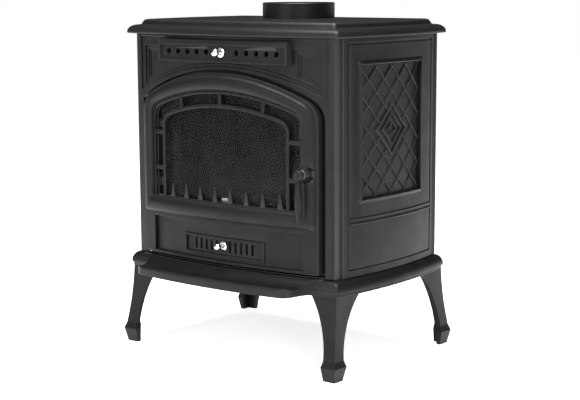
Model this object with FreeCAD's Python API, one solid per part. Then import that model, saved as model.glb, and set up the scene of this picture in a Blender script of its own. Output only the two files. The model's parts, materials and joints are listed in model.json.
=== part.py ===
"""Cast-iron wood burning stove, millimetres, +Z up, standing on z = 0.

The front of the body and everything on it is bowed: it lies on vertical cylinders that share
one axis. A front depth is therefore given as an offset from the body's front skin, positive
towards the room. Helpers work about the middle of the body, and save() moves each finished
piece so that the origin is under the middle of the whole stove.
"""
import FreeCAD, Part
import math
import os

V = FreeCAD.Vector
UP = V(0, 0, 1)

# Body plan and heights
HALF_WIDTH = 259.0
HALF_DEPTH = 173.0
FRONT_BOW = 28.0
SIDE_BOW = 18.0
BASE_BOTTOM = 163.0
BASE_TOP = 194.0
BODY_TOP = 653.0
RIM_TOP = 671.0
DECK_TOP = 682.0
FLUE_TOP = 714.5

# Castings
RIM_OVERHANG = 14.0
FRAME_THICKNESS = 18.5
SIDE_THICKNESS = 11.0
REAR_THICKNESS = 8.0
CORNER_DEPTH = 19.0
SHELF_REACH = 65.0
SHELF_HALF_WIDTH = 200.0
SHELF_NOSE_TOP = 181.0
SHELF_TROUGH = 177.5
SHELF_HOLLOW = 8.0
CORNER_BLOCK = (212.0, 268.0, 13.5, 184.0)

# Legs: the outer arris stands on the floor at FOOT, and meets the base at KNEE
FOOT = (275.0, 199.0)
KNEE = (269.0, 183.0)
FOOT_FLARE = (281.5, 204.5)
LEG_TOP_WIDTH = (62.0, 77.0)
ANKLE_WIDTH = (28.0, 29.0)
ANKLE_HEIGHT = 40.0
FOOT_HEIGHT = 28.0
LEG_WALL = 9.0
LEG_PAD = 8.0
LEG_BOLT = (KNEE[0] - 34.0, KNEE[1] - 42.0)
LEG_BOLT_RADIUS = 5.0
LEG_BOLT_DEPTH = 14.0

# Door, its arched window and the fret around it, as (half width, apex, arch radius, corner)
DOOR_BOTTOM = 201.0
DOOR = (229.0, 582.0, 460.0, 45.0)
DOORWAY = (237.0, 587.0, 470.0, 48.0)
DOORWAY_REBATE = (245.0, 591.0, 500.0, 52.0)
FLANGE_HOLE = (213.0, 566.0, 455.0, 34.0)
SEAL_OUTER = (221.5, 574.5, 460.0, 40.0)
SEAL_INNER = (213.5, 566.5, 455.0, 34.0)
BEAD_OUTER = (220.0, 577.0, 455.0, 40.0)
BEAD_CROWN_OUTER = (215.0, 572.0, 455.0, 37.0)
BEAD_CROWN_INNER = (203.0, 555.0, 485.0, 33.0)
BEAD_INNER = (198.0, 549.0, 495.0, 31.0)
FRET = (195.0, 546.0, 497.0, 30.0)
FRET_HOLE_OUTER = (189.5, 540.5, 497.0, 27.0)
FRET_HOLE_INNER = (165.5, 520.0, 470.0, 26.0)
WINDOW = (158.0, 512.5, 465.0, 20.0)
GLASS = (193.0, 544.0, 497.0, 29.0)
GLASS_SEAL_INNER = (190.0, 541.0, 497.0, 27.5)
DOOR_FACE = 8.0
DOOR_BACK = -6.0
BEAD_FACE = 14.0
BEAD_CROWN = 18.0
BEAD_BOTTOM = 288.0
FRET_BOTTOM = 316.0
WINDOW_BOTTOM = 321.0
FRET_BACK = 0.0
GLASS_FRONT = -2.0
SEAL_BACK = -11.0
FLANGE_FRONT = -11.3
BRIDGE_WIDTH = 9.0
BRIDGE_X = (-105.0, 0.0, 105.0)
BRIDGE_Z = (381.0, 454.0)

# Lower panel of the door and its air vent
PANEL = (-195.0, 195.0, 207.0, 279.0)
PANEL_FACE = 1.0
VENT = (-105.0, 105.0, 213.0, 254.0)
VENT_BORDER = 5.0
VENT_FACE = 4.0
SLOT_FIRST = 17.2
SLOT_PITCH = 14.2
SLOT_WIDTH = 5.6
SLOT_BOTTOM = 224.0
SLOT_TOP = 246.0
LOWER_TRAVEL = 7.1
VENT_POCKET_Y = -193.0
SLIDER_GAP = 0.3

# Upper air block
BLOCK_HALF = 167.0
BLOCK_BOTTOM = 601.0
BLOCK_TOP = 645.0
BLOCK_FACE_Y = -205.0
BLOCK_PLATE = 6.0
BLOCK_WALL = 5.0
CHANNEL = (-160.0, 160.0, 606.0, 634.0)
CHANNEL_DEPTH = 2.5
HOLE_RADIUS = 6.0
HOLE_FIRST = 39.2
HOLE_PITCH = 25.1
HOLE_Z = 621.0
HOLES_PER_SIDE = 5
UPPER_TRAVEL = 12.5

# Knobs
KNOB_RADIUS = 8.0
ROSETTE_RADIUS = 9.5
ROSETTE_THICKNESS = 2.0
STEM_RADIUS = 3.0
KNOB_REACH = 15.5
LOWER_KNOB_Z = 236.0

# Door hinge and handle
HINGE_X = -223.0
HINGE_OFFSET = -4.0
PIN_RADIUS = 3.0
PIN_CLEARANCE = 0.05
PIN_BOSS_RADIUS = 6.0
SWING_RADIUS = 13.7
HANDLE = (205.5, 397.0)
HANDLE_FRONT_Y = -226.0
SPINDLE_RADIUS = 4.0
CAM = (-160.0, -154.0)
CAM_HALF_WIDTH = 4.5
CAM_REACH = 19.0
HUB_RADIUS = 5.8
NUT_BACK_Y = -148.0
BOSS_RADIUS = 10.0
BOSS_POCKET = 17.0
HEAD_RADIUS = 10.0
GRIP_BOTTOM_Z = 306.0

# Side lattice
LATTICE_Y = -8.0
LATTICE_HALF = 100.0
LATTICE_BOTTOM = 342.0
LATTICE_TOP = 602.0
LATTICE_PITCH_Y = 24.3
LATTICE_PITCH_Z = 24.9
LATTICE_DEPTH = 6.5
LATTICE_FRAME = (7.0, 4.0)
RIB_DEPTH = 3.6
STUD_DEPTH = 2.4
RIB_WIDTH = 5.0
STUD_RADIUS = 5.0

# Firebox
LINER_INNER_X = 222.0
LINER_THICKNESS = 14.0
LINER_FRONT_Y = -138.0
LINER_BACK_Y = 116.0
FLOOR_TOP = 284.0
FLOOR_THICKNESS = 10.0
LINER_TOP = 600.0
BAFFLE_Z = 540.0
BAFFLE_LEAN = 12.0
GRATE_HALF = (110.0, 70.0)
PAN = (-150.0, 150.0, -140.0, 90.0, 194.0, 252.0)
PAN_WALL = 2.0

# Flue
FLUE_Y = 45.0
FLUE_RADIUS = 75.0
FLUE_WALL = 6.0
FLUE_FLANGE_RADIUS = 92.0
FLUE_FLANGE = (665.0, 672.0)
FLUE_NECK_RADIUS = 73.5
FLUE_HOLE_RADIUS = 76.5
FLUE_WALL_START = 683.0

FAR = 330.0
FRONT_REACH = HALF_DEPTH + FRONT_BOW + SHELF_REACH
SHIFT = V(0, (FRONT_REACH - FOOT_FLARE[1]) / 2, 0)


def save(name, *shapes):
    """Write one node: one solid, or a group of separate solids."""
    solids = [s for shape in shapes for s in shape.Solids]
    shape = solids[0] if len(solids) == 1 else Part.makeCompound(solids)
    shape.translate(SHIFT)
    shape.exportStep("parts/%s.step" % name)
    low, high = shape.BoundBox.getPoint(4), shape.BoundBox.getPoint(2)
    print("%-24s %2d solid %9.0f mm3 valid %s  z %.1f to %.1f"
          % (name, len(solids), shape.Volume, shape.isValid(), low.z, high.z))


def box(x0, x1, y0, y1, z0, z1):
    return Part.makeBox(x1 - x0, y1 - y0, z1 - z0, V(x0, y0, z0))


def rod(x, y, z0, z1, radius):
    return Part.makeCylinder(radius, z1 - z0, V(x, y, z0), UP)


def rod_y(x, z, y0, y1, radius):
    return Part.makeCylinder(radius, y1 - y0, V(x, y0, z), V(0, 1, 0))


def mirror_x(shape):
    return shape.mirror(V(0, 0, 0), V(1, 0, 0))


def mirror_y(shape):
    return shape.mirror(V(0, 0, 0), V(0, 1, 0))


def arc_radius(half_chord, rise):
    return (half_chord ** 2 + rise ** 2) / (2 * rise)


FRONT_RADIUS = arc_radius(HALF_WIDTH, FRONT_BOW)
FRONT_AXIS_Y = FRONT_RADIUS - HALF_DEPTH - FRONT_BOW
SIDE_RADIUS = arc_radius(HALF_DEPTH, SIDE_BOW)
SIDE_AXIS_X = HALF_WIDTH + SIDE_BOW - SIDE_RADIUS


def front_y(x, offset=0.0):
    """Y of the bowed front at x, offset towards the room."""
    return FRONT_AXIS_Y - math.sqrt((FRONT_RADIUS + offset) ** 2 - x ** 2)


HINGE = (HINGE_X, front_y(HINGE_X, HINGE_OFFSET))


def polygon(points):
    return Part.Face(Part.makePolygon(points + [points[0]]))


def plan_wire(grow, z):
    """Outline of the body grown outwards: bowed front and sides, flat rear."""
    w, d = HALF_WIDTH + grow, HALF_DEPTH + grow
    corners = [V(-w, -d, z), V(w, -d, z), V(w, d, z), V(-w, d, z)]
    edges = [
        Part.Arc(corners[0], V(0, -d - FRONT_BOW, z), corners[1]).toShape(),
        Part.Arc(corners[1], V(w + SIDE_BOW, 0, z), corners[2]).toShape(),
        Part.makeLine(corners[2], corners[3]),
        Part.Arc(corners[3], V(-w - SIDE_BOW, 0, z), corners[0]).toShape(),
    ]
    return Part.Wire(edges)


def plan_prism(grow, z0, z1):
    return Part.Face(plan_wire(grow, z0)).extrude(V(0, 0, z1 - z0))


def plan_taper(grow0, z0, grow1, z1):
    return Part.makeLoft([plan_wire(grow0, z0), plan_wire(grow1, z1)], True, True)


def bowed(face, front, back):
    """Cut a slab that lies between two offsets of the bowed front to an outline in XZ."""
    height = BODY_TOP
    slab = face.extrude(V(0, FAR - 100, 0))
    outer = rod(0, FRONT_AXIS_Y, 0, height, FRONT_RADIUS + front)
    inner = rod(0, FRONT_AXIS_Y, 0, height, FRONT_RADIUS + back)
    return slab.common(outer).cut(inner)


def rect(x0, x1, z0, z1):
    return polygon([V(x0, -FAR, z0), V(x1, -FAR, z0), V(x1, -FAR, z1), V(x0, -FAR, z1)])


def disc(x, z, radius):
    return Part.Face(Part.Wire(Part.makeCircle(radius, V(x, -FAR, z), V(0, -1, 0))))


def arched(shape, bottom):
    """Face in XZ with a flat bottom, upright sides and an arched top with rounded corners."""
    half, apex, radius, corner = shape
    arch_z = apex - radius
    cx = half - corner
    cz = arch_z + math.sqrt((radius - corner) ** 2 - cx ** 2)
    scale = radius / (radius - corner)
    tx, tz = cx * scale, arch_z + (cz - arch_z) * scale
    turn = math.atan2(tz - cz, tx - cx) / 2
    mx, mz = cx + corner * math.cos(turn), cz + corner * math.sin(turn)
    y = -FAR
    edges = [
        Part.makeLine(V(-half, y, bottom), V(half, y, bottom)),
        Part.makeLine(V(half, y, bottom), V(half, y, cz)),
        Part.Arc(V(half, y, cz), V(mx, y, mz), V(tx, y, tz)).toShape(),
        Part.Arc(V(tx, y, tz), V(0, y, apex), V(-tx, y, tz)).toShape(),
        Part.Arc(V(-tx, y, tz), V(-mx, y, mz), V(-half, y, cz)).toShape(),
        Part.makeLine(V(-half, y, cz), V(-half, y, bottom)),
    ]
    return Part.Face(Part.Wire(edges))


def side_bowed(y0, y1, z0, z1, out, inn):
    """Slab between two offsets of the bowed right side."""
    slab = box(0, FAR, y0, y1, z0, z1)
    outer = rod(SIDE_AXIS_X, 0, z0, z1, SIDE_RADIUS + out)
    inner = rod(SIDE_AXIS_X, 0, z0, z1, SIDE_RADIUS + inn)
    return slab.common(outer).cut(inner)


def turned(profile, origin):
    """Revolve (radius, distance towards the room) points about a -Y axis through origin."""
    points = [V(origin.x + r, origin.y - d, origin.z) for r, d in profile]
    return polygon(points).revolve(origin, V(0, -1, 0), 360)


# ---------------------------------------------------------------- base and legs

def shelf_face(inset, z):
    """Plan of the ash shelf: a bowed nose whose ends sweep back into the base."""
    half = SHELF_HALF_WIDTH - inset
    reach = SHELF_REACH - inset
    nose_half = half - 14
    back_y = front_y(half + 20, -20)
    nose = V(nose_half, front_y(nose_half, reach), z)
    side = V(half, front_y(half, reach - 12), z)
    waist = V(half + 5, front_y(half, reach - 36), z)
    heel = V(half + 20, front_y(half + 20, 8 - inset), z)
    rear = V(half + 20, back_y, z)
    corner = V(half - 3, front_y(half, reach - 4), z)
    sweep = V(half + 9, front_y(half, reach - 48), z)

    def left(p):
        return V(-p.x, p.y, p.z)

    edges = [
        Part.Arc(left(nose), V(0, front_y(0, reach), z), nose).toShape(),
        Part.Arc(nose, corner, side).toShape(),
        Part.makeLine(side, waist),
        Part.Arc(waist, sweep, heel).toShape(),
        Part.makeLine(heel, rear),
        Part.makeLine(rear, left(rear)),
        Part.makeLine(left(rear), left(heel)),
        Part.Arc(left(heel), left(sweep), left(waist)).toShape(),
        Part.makeLine(left(waist), left(side)),
        Part.Arc(left(side), left(corner), left(nose)).toShape(),
    ]
    return Part.Face(Part.Wire(edges))


def base_plate():
    skirt = plan_prism(RIM_OVERHANG - 3, BASE_BOTTOM, 170)
    rim = plan_taper(RIM_OVERHANG, 170, 4, BASE_TOP)
    shelf = shelf_face(0, BASE_BOTTOM).extrude(V(0, 0, BASE_TOP - BASE_BOTTOM - 1))
    r = FRONT_RADIUS
    nose = r + SHELF_REACH
    top = [(r - 30, BASE_TOP), (r + 8, BASE_TOP - 1), (r + 20, 184), (r + 32, SHELF_TROUGH + 0.5),
           (nose - 12, SHELF_TROUGH), (nose - 6, SHELF_NOSE_TOP), (nose, SHELF_NOSE_TOP),
           (nose, BASE_BOTTOM), (r - 30, BASE_BOTTOM)]
    swept = polygon([V(0, FRONT_AXIS_Y - a, b) for a, b in top])
    swept.rotate(V(0, FRONT_AXIS_Y, 0), UP, -20)
    shelf = shelf.common(swept.revolve(V(0, FRONT_AXIS_Y, 0), UP, 40))
    plate = skirt.fuse([rim, shelf])
    inner, outer, level, block_top = CORNER_BLOCK
    for sign in (-1, 1):
        x0, x1 = sorted((sign * inner, sign * outer))
        plate = plate.fuse(bowed(rect(x0, x1, BASE_BOTTOM, block_top), level, -20))
    plate = plate.cut(box(-198, 198, -165, 150, BASE_BOTTOM, 182))
    plate = plate.cut(shelf_face(9, BASE_BOTTOM).extrude(V(0, 0, SHELF_HOLLOW)))
    plate = plate.cut(rod(*HINGE, BASE_BOTTOM, BASE_TOP, PIN_RADIUS))
    for x, y in leg_bolt_places():
        plate = plate.cut(rod(x, y, BASE_BOTTOM, BASE_BOTTOM + LEG_BOLT_DEPTH, LEG_BOLT_RADIUS))
    save("base_plate", plate.removeSplitter())


def leg_bolt_places():
    return [(sx * LEG_BOLT[0], sy * LEG_BOLT[1]) for sx in (-1, 1) for sy in (-1, 1)]


def leg_side(axis):
    """Outline of a leg seen along Y (axis 0) or along X (axis 1), with its inner hollow."""
    def at(u, z):
        return V(u, -FAR, z) if axis == 0 else V(-FAR, u, z)

    foot, knee, flare = FOOT[axis], KNEE[axis], FOOT_FLARE[axis]
    ankle = flare - 4.5
    inner_ankle = ankle - ANKLE_WIDTH[axis]
    inner_top = knee - LEG_TOP_WIDTH[axis]
    middle = (ANKLE_HEIGHT + BASE_BOTTOM) / 2
    outer_mid = (ankle + knee) / 2 - 2
    inner_mid = inner_ankle - (inner_ankle - inner_top) * 0.27
    edges = [
        Part.makeLine(at(foot, 0), at(flare, FOOT_HEIGHT)),
        Part.makeLine(at(flare, FOOT_HEIGHT), at(ankle, ANKLE_HEIGHT)),
        Part.Arc(at(ankle, ANKLE_HEIGHT), at(outer_mid, middle), at(knee, BASE_BOTTOM)).toShape(),
        Part.makeLine(at(knee, BASE_BOTTOM), at(inner_top, BASE_BOTTOM)),
        Part.Arc(at(inner_top, BASE_BOTTOM), at(inner_mid, middle),
                 at(inner_ankle, ANKLE_HEIGHT)).toShape(),
        Part.makeLine(at(inner_ankle, ANKLE_HEIGHT), at(inner_ankle - 3, FOOT_HEIGHT)),
        Part.makeLine(at(inner_ankle - 3, FOOT_HEIGHT), at(foot - 27, 0)),
        Part.makeLine(at(foot - 27, 0), at(foot, 0)),
    ]
    solid = Part.Face(Part.Wire(edges)).extrude(at(0, 0) * -2)
    hollow_edges = [
        Part.makeLine(at(0, -1), at(ankle - LEG_WALL - 1, -1)),
        Part.makeLine(at(ankle - LEG_WALL - 1, -1), at(ankle - LEG_WALL - 1, ANKLE_HEIGHT)),
        Part.Arc(at(ankle - LEG_WALL - 1, ANKLE_HEIGHT), at(outer_mid - LEG_WALL, middle),
                 at(knee - LEG_WALL, BASE_BOTTOM - LEG_PAD)).toShape(),
        Part.makeLine(at(knee - LEG_WALL, BASE_BOTTOM - LEG_PAD), at(0, BASE_BOTTOM - LEG_PAD)),
        Part.makeLine(at(0, BASE_BOTTOM - LEG_PAD), at(0, -1)),
    ]
    hollow = Part.Face(Part.Wire(hollow_edges)).extrude(at(0, 0) * -2)
    return solid, hollow


def legs():
    solid_x, hollow_x = leg_side(0)
    solid_y, hollow_y = leg_side(1)
    leg = solid_x.common(solid_y).cut(hollow_x.common(hollow_y))
    pad_bottom = BASE_BOTTOM - LEG_PAD
    leg = leg.cut(rod(*LEG_BOLT, pad_bottom, BASE_BOTTOM, LEG_BOLT_RADIUS))
    save("leg_rear_right", leg.copy())
    save("leg_rear_left", mirror_x(leg))
    save("leg_front_right", mirror_y(leg))
    save("leg_front_left", mirror_x(mirror_y(leg)))
    bolts = []
    for x, y in leg_bolt_places():
        shank = rod(x, y, pad_bottom, BASE_BOTTOM + LEG_BOLT_DEPTH, LEG_BOLT_RADIUS)
        bolts.append(shank.fuse(hexagon(x, y, pad_bottom - 6, 6, 8.5)))
    save("leg_bolts", *bolts)


def hexagon(x, y, z, height, radius):
    points = [V(x + radius * math.cos(math.radians(60 * i)),
                y + radius * math.sin(math.radians(60 * i)), z) for i in range(6)]
    return polygon(points).extrude(V(0, 0, height))


# ---------------------------------------------------------------- body shells

def arch_band(apex, radius, half, top):
    """Face in XZ between an arch and a straight top edge."""
    spring = apex - radius + math.sqrt(radius ** 2 - half ** 2)
    y = -FAR
    edges = [
        Part.Arc(V(-half, y, spring), V(0, y, apex), V(half, y, spring)).toShape(),
        Part.makeLine(V(half, y, spring), V(half, y, top)),
        Part.makeLine(V(half, y, top), V(-half, y, top)),
        Part.makeLine(V(-half, y, top), V(-half, y, spring)),
    ]
    return Part.Face(Part.Wire(edges))


def front_frame():
    frame = bowed(rect(-HALF_WIDTH, HALF_WIDTH, BASE_TOP, BODY_TOP), 0, -FRAME_THICKNESS)
    frame = frame.cut(bowed(arched(DOORWAY, 197), 1, FLANGE_FRONT))
    frame = frame.cut(bowed(arched(DOORWAY_REBATE, 197), 1, -4))
    frame = frame.cut(bowed(arched(FLANGE_HOLE, 212), 0, -FRAME_THICKNESS - 1))
    frame = frame.cut(bowed(arch_band(594, 551, 242, 647.5), 1, -2.5))
    frame = frame.cut(bowed(arch_band(600, 557, 229.5, 629), 1, -4.5))
    lip = BLOCK_WALL
    window = rect(-BLOCK_HALF + lip, BLOCK_HALF - lip, BLOCK_BOTTOM + lip, BLOCK_TOP - lip)
    frame = frame.cut(bowed(window, 1, -FRAME_THICKNESS - 1))
    for sign in (-1, 1):
        panel = polygon([V(sign * 177, -FAR, 579), V(sign * 221.5, -FAR, 562),
                         V(sign * 221.5, -FAR, 622), V(sign * 177, -FAR, 622)])
        frame = frame.cut(bowed(panel, 1, -7.5))
    frame = frame.cut(rod(*HINGE, 190, 546, PIN_RADIUS))
    corner = bowed(rect(-242, -205, 490, 520), 1, FLANGE_FRONT)
    frame = frame.cut(corner.common(rod(*HINGE, 490, 520, SWING_RADIUS)))
    save("front_frame", frame)


def air_block():
    inner_top, inner_bottom = BLOCK_TOP - BLOCK_WALL, BLOCK_BOTTOM + BLOCK_WALL
    inner_half = BLOCK_HALF - BLOCK_WALL
    back_y = BLOCK_FACE_Y + BLOCK_PLATE
    block = box(-BLOCK_HALF, BLOCK_HALF, BLOCK_FACE_Y, -150, BLOCK_BOTTOM, BLOCK_TOP)
    block = block.cut(box(-inner_half, inner_half, back_y, -150, inner_bottom, inner_top))
    block = block.cut(rod(0, FRONT_AXIS_Y, 0, BODY_TOP, FRONT_RADIUS - 2.5))
    x0, x1, z0, z1 = CHANNEL
    block = block.cut(box(x0, x1, BLOCK_FACE_Y, BLOCK_FACE_Y + CHANNEL_DEPTH, z0, z1))
    for x in hole_places():
        block = block.cut(rod_y(x, HOLE_Z, BLOCK_FACE_Y, back_y, HOLE_RADIUS))
    slot_z = STEM_RADIUS + 0.5
    block = block.cut(box(-slot_z, UPPER_TRAVEL + slot_z, BLOCK_FACE_Y, back_y,
                          HOLE_Z - slot_z, HOLE_Z + slot_z))
    ring = polygon([V(0, FRONT_AXIS_Y - FRONT_RADIUS + a, b) for a, b in
                    ((2.5, BLOCK_BOTTOM), (4.5, BLOCK_BOTTOM), (4.5, 629), (2.5, 629))])
    ring.rotate(V(0, FRONT_AXIS_Y, 0), UP, -20)
    foot = ring.revolve(V(0, FRONT_AXIS_Y, 0), UP, 40)
    pads = box(-BLOCK_HALF, -inner_half, -FAR, -150, BLOCK_BOTTOM, 629)
    pads = pads.fuse([box(inner_half, BLOCK_HALF, -FAR, -150, BLOCK_BOTTOM, 629),
                      box(-inner_half, inner_half, -FAR, -150, BLOCK_BOTTOM, inner_bottom)])
    block = block.fuse(foot.common(pads)).removeSplitter()
    save("air_block", block)


def hole_places():
    right = [HOLE_FIRST + HOLE_PITCH * i for i in range(HOLES_PER_SIDE)]
    return [-x for x in right] + right


def side_panel():
    """Right side casting with its recessed lattice, the band below it and grooved borders."""
    end = HALF_DEPTH - CORNER_DEPTH - 0.2
    panel = side_bowed(-end, end, BASE_TOP, BODY_TOP, 0, -SIDE_THICKNESS)
    y0, y1 = LATTICE_Y - LATTICE_HALF, LATTICE_Y + LATTICE_HALF
    recess = side_bowed(y0, y1, LATTICE_BOTTOM, LATTICE_TOP, 1, -LATTICE_DEPTH)
    panel = panel.cut(recess)
    recess_through = box(0, FAR, y0, y1, LATTICE_BOTTOM, LATTICE_TOP)
    band = side_bowed(-138, 140, 295, 300, 3, 0)
    band = band.fuse(side_bowed(-138, 140, 304, 309, 3, 0))
    panel = panel.fuse(band)
    w = LATTICE_FRAME[0]
    raised = side_bowed(y0 - w, y1 + w, LATTICE_BOTTOM - w, LATTICE_TOP + w, LATTICE_FRAME[1], -1)
    panel = panel.fuse(raised.cut(recess_through))
    for z0, z1 in ((208, 211), (640, 643)):
        panel = panel.cut(side_bowed(-138, 140, z0, z1, 1, -2.5))
    for y in (-141, 140):
        panel = panel.cut(side_bowed(y, y + 3, 208, 643, 1, -2.5))
    return panel


def lattice():
    """Crossed ribs in the recess of the right side, with a stud on each crossing."""
    y0, y1 = LATTICE_Y - LATTICE_HALF, LATTICE_Y + LATTICE_HALF
    zc = (LATTICE_BOTTOM + LATTICE_TOP) / 2
    slope = math.atan2(LATTICE_PITCH_Z, LATTICE_PITCH_Y)
    reach = LATTICE_TOP - LATTICE_BOTTOM
    ribs = []
    for lean in (-1, 1):
        for i in range(-9, 10, 2):
            rib = box(240, 290, -reach, reach, -RIB_WIDTH / 2, RIB_WIDTH / 2)
            rib.rotate(V(0, 0, 0), V(1, 0, 0), math.degrees(slope) * lean)
            rib.translate(V(0, LATTICE_Y + i * LATTICE_PITCH_Y, zc))
            ribs.append(rib)
    border = side_bowed(y0, y1, LATTICE_BOTTOM, LATTICE_TOP, -RIB_DEPTH, -LATTICE_DEPTH)
    crossed = border.common(ribs[0].fuse(ribs[1:]))
    edge = 3.0
    inside = side_bowed(y0 + edge, y1 - edge, LATTICE_BOTTOM + edge, LATTICE_TOP - edge, 0, -20)
    crossed = crossed.fuse(border.cut(inside))
    studs = []
    for i in range(-4, 5):
        for j in range(-6, 7):
            if (i + j) % 2:
                y, z = LATTICE_Y + i * LATTICE_PITCH_Y, zc + j * LATTICE_PITCH_Z
                near = y0 + STUD_RADIUS < y < y1 - STUD_RADIUS
                if near and LATTICE_BOTTOM + STUD_RADIUS < z < LATTICE_TOP - STUD_RADIUS:
                    studs.append(Part.makeCylinder(STUD_RADIUS, 60, V(240, y, z), V(1, 0, 0)))
    slab = side_bowed(y0, y1, LATTICE_BOTTOM, LATTICE_TOP, -STUD_DEPTH, -LATTICE_DEPTH)
    studs = slab.common(studs[0].fuse(studs[1:]))
    return crossed.fuse(studs)


def sides():
    panel = side_panel()
    save("side_right", panel)
    save("side_left", mirror_x(side_panel()))
    ribs = lattice()
    save("lattice_left", mirror_x(ribs))
    save("lattice_right", ribs)


def rear():
    w, d = HALF_WIDTH, HALF_DEPTH
    panel = box(-w, w, d - CORNER_DEPTH, d, BASE_TOP, BODY_TOP)
    panel = panel.cut(box(-w + 12, w - 12, 0, d - REAR_THICKNESS, 0, 700))
    panel = panel.cut(box(-215, 215, d - 3, d + 1, 230, 620))
    plate_z = 500.0
    panel = panel.cut(rod_y(0, plate_z, 0, 200, FLUE_RADIUS))
    save("rear_panel", panel)
    cover = rod_y(0, plate_z, d - 3, d + 3, FLUE_RADIUS + 16)
    cover = cover.fuse(rod_y(0, plate_z, d - REAR_THICKNESS, d - 3, FLUE_RADIUS - 1))
    save("rear_flue_cover", cover)
    heads = []
    for i in range(3):
        angle = math.radians(90 + 120 * i)
        x = (FLUE_RADIUS + 8) * math.cos(angle)
        z = plate_z + (FLUE_RADIUS + 8) * math.sin(angle)
        heads.append(rod_y(x, z, d + 3, d + 7, 6))
    save("rear_cover_screws", *heads)


def top_plate():
    plate = plan_prism(RIM_OVERHANG, BODY_TOP, 657)
    plate = plate.fuse([plan_taper(RIM_OVERHANG - 1, 657, -4, RIM_TOP),
                        plan_taper(-8, RIM_TOP, -15, DECK_TOP)])
    plate = plate.cut(plan_prism(-22, BODY_TOP, 662))
    plate = plate.cut(plan_prism(-44, 662, 672))
    plate = plate.cut(rod(0, FLUE_Y, 662, FLUE_FLANGE[1], FLUE_FLANGE_RADIUS + 1))
    plate = plate.cut(rod(0, FLUE_Y, BODY_TOP, DECK_TOP, FLUE_HOLE_RADIUS))
    save("top_plate", plate.removeSplitter())


def flue_collar():
    flange_bottom, flange_top = FLUE_FLANGE
    collar = rod(0, FLUE_Y, FLUE_WALL_START, FLUE_TOP, FLUE_RADIUS)
    collar = collar.fuse([rod(0, FLUE_Y, flange_bottom, FLUE_WALL_START, FLUE_NECK_RADIUS),
                          rod(0, FLUE_Y, flange_bottom, flange_top, FLUE_FLANGE_RADIUS)])
    collar = collar.cut(rod(0, FLUE_Y, 600, FLUE_TOP, FLUE_RADIUS - FLUE_WALL))
    rim = [e for e in collar.Edges if e.BoundBox.ZMin > FLUE_TOP - 0.01 and e.Length > 440]
    collar = collar.makeChamfer(1.5, [e for e in rim if e.Curve.Radius > FLUE_RADIUS - 1])
    save("flue_collar", collar)
    bolts = []
    for i in range(3):
        angle = math.radians(30 + 120 * i)
        reach = (FLUE_RADIUS + FLUE_FLANGE_RADIUS) / 2
        x, y = reach * math.cos(angle), FLUE_Y + reach * math.sin(angle)
        bolts.append(hexagon(x, y, flange_bottom - 6, 6, 7))
    save("flue_collar_bolts", *bolts)


def tie_rods():
    rods = []
    nuts = []
    for x, y in ((243.5, -139.0), (240.0, 152.0)):
        for sign in (-1, 1):
            rods.append(rod(sign * x, y, BASE_TOP, BODY_TOP, 4))
            nut = hexagon(sign * x, y, BASE_TOP, 7, 7.5)
            nuts.append(nut.cut(rod(sign * x, y, BASE_TOP, BODY_TOP, 4)))
    save("tie_rods", *rods)
    save("tie_rod_nuts", *nuts)


# ---------------------------------------------------------------- firebox

def firebox():
    x = LINER_INNER_X
    outer = x + LINER_THICKNESS
    floor = box(-outer, outer, -150, LINER_BACK_Y + LINER_THICKNESS + 10,
                FLOOR_TOP - FLOOR_THICKNESS, FLOOR_TOP)
    gx, gy = GRATE_HALF
    floor = floor.cut(box(-gx, gx, -gy, gy, 200, 300))
    ledge = box(-gx - 8, gx + 8, -gy - 8, gy + 8, FLOOR_TOP - 4, FLOOR_TOP)
    floor = floor.cut(ledge)
    save("firebox_floor", floor)
    grate = box(-gx - 7, gx + 7, -gy - 7, gy + 7, FLOOR_TOP - 4, FLOOR_TOP + 2)
    bars = 11
    pitch = 2 * gx / bars
    for i in range(bars):
        x0 = -gx + pitch * (i + 0.25)
        grate = grate.cut(box(x0, x0 + pitch / 2, -gy + 6, gy - 6, 270, 300))
    save("grate", grate)
    liner = box(x, outer, LINER_FRONT_Y, LINER_BACK_Y, FLOOR_TOP, LINER_TOP)
    save("liner_left", mirror_x(liner))
    save("liner_right", liner)
    back = box(-outer, outer, LINER_BACK_Y, LINER_BACK_Y + LINER_THICKNESS, FLOOR_TOP, LINER_TOP)
    save("liner_back", back)
    baffle = box(-x + 1, x - 1, -60, 113, 0, 10)
    baffle.rotate(V(0, 113, 0), V(1, 0, 0), -BAFFLE_LEAN)
    baffle.translate(V(0, 0, BAFFLE_Z))
    save("baffle_plate", baffle)
    pegs = []
    for s in (-1, 1):
        for y0, top in ((60, BAFFLE_Z + 6), (-40, BAFFLE_Z + 27)):
            pegs.append(box(s * (x - 7) - 7, s * (x - 7) + 7, y0, y0 + 20, top - 10, top))
    save("baffle_pegs", *pegs)
    legs_x = outer - 6
    walls = [box(s * legs_x - 5, s * legs_x + 5, -128, 120, BASE_TOP, FLOOR_TOP - FLOOR_THICKNESS)
             for s in (-1, 1)]
    save("floor_supports", *walls)


def ash_pan():
    x0, x1, y0, y1, z0, z1 = PAN
    t = PAN_WALL
    pan = box(*PAN).cut(box(x0 + t, x1 - t, y0 + t, y1 - t, z0 + t, z1))
    save("ash_pan", pan)
    grip = box(-50, 50, y0 - 16, y0 - 11, 225, 237)
    grip = grip.fuse([box(-50, -45, y0 - 11, y0, 225, 237), box(45, 50, y0 - 11, y0, 225, 237)])
    save("ash_pan_handle", grip)
    rails = [box(s * (x1 + 4) - 2, s * (x1 + 4) + 2, -120, y1, BASE_TOP, 206) for s in (-1, 1)]
    save("ash_pan_rails", *rails)


# ---------------------------------------------------------------- door

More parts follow.
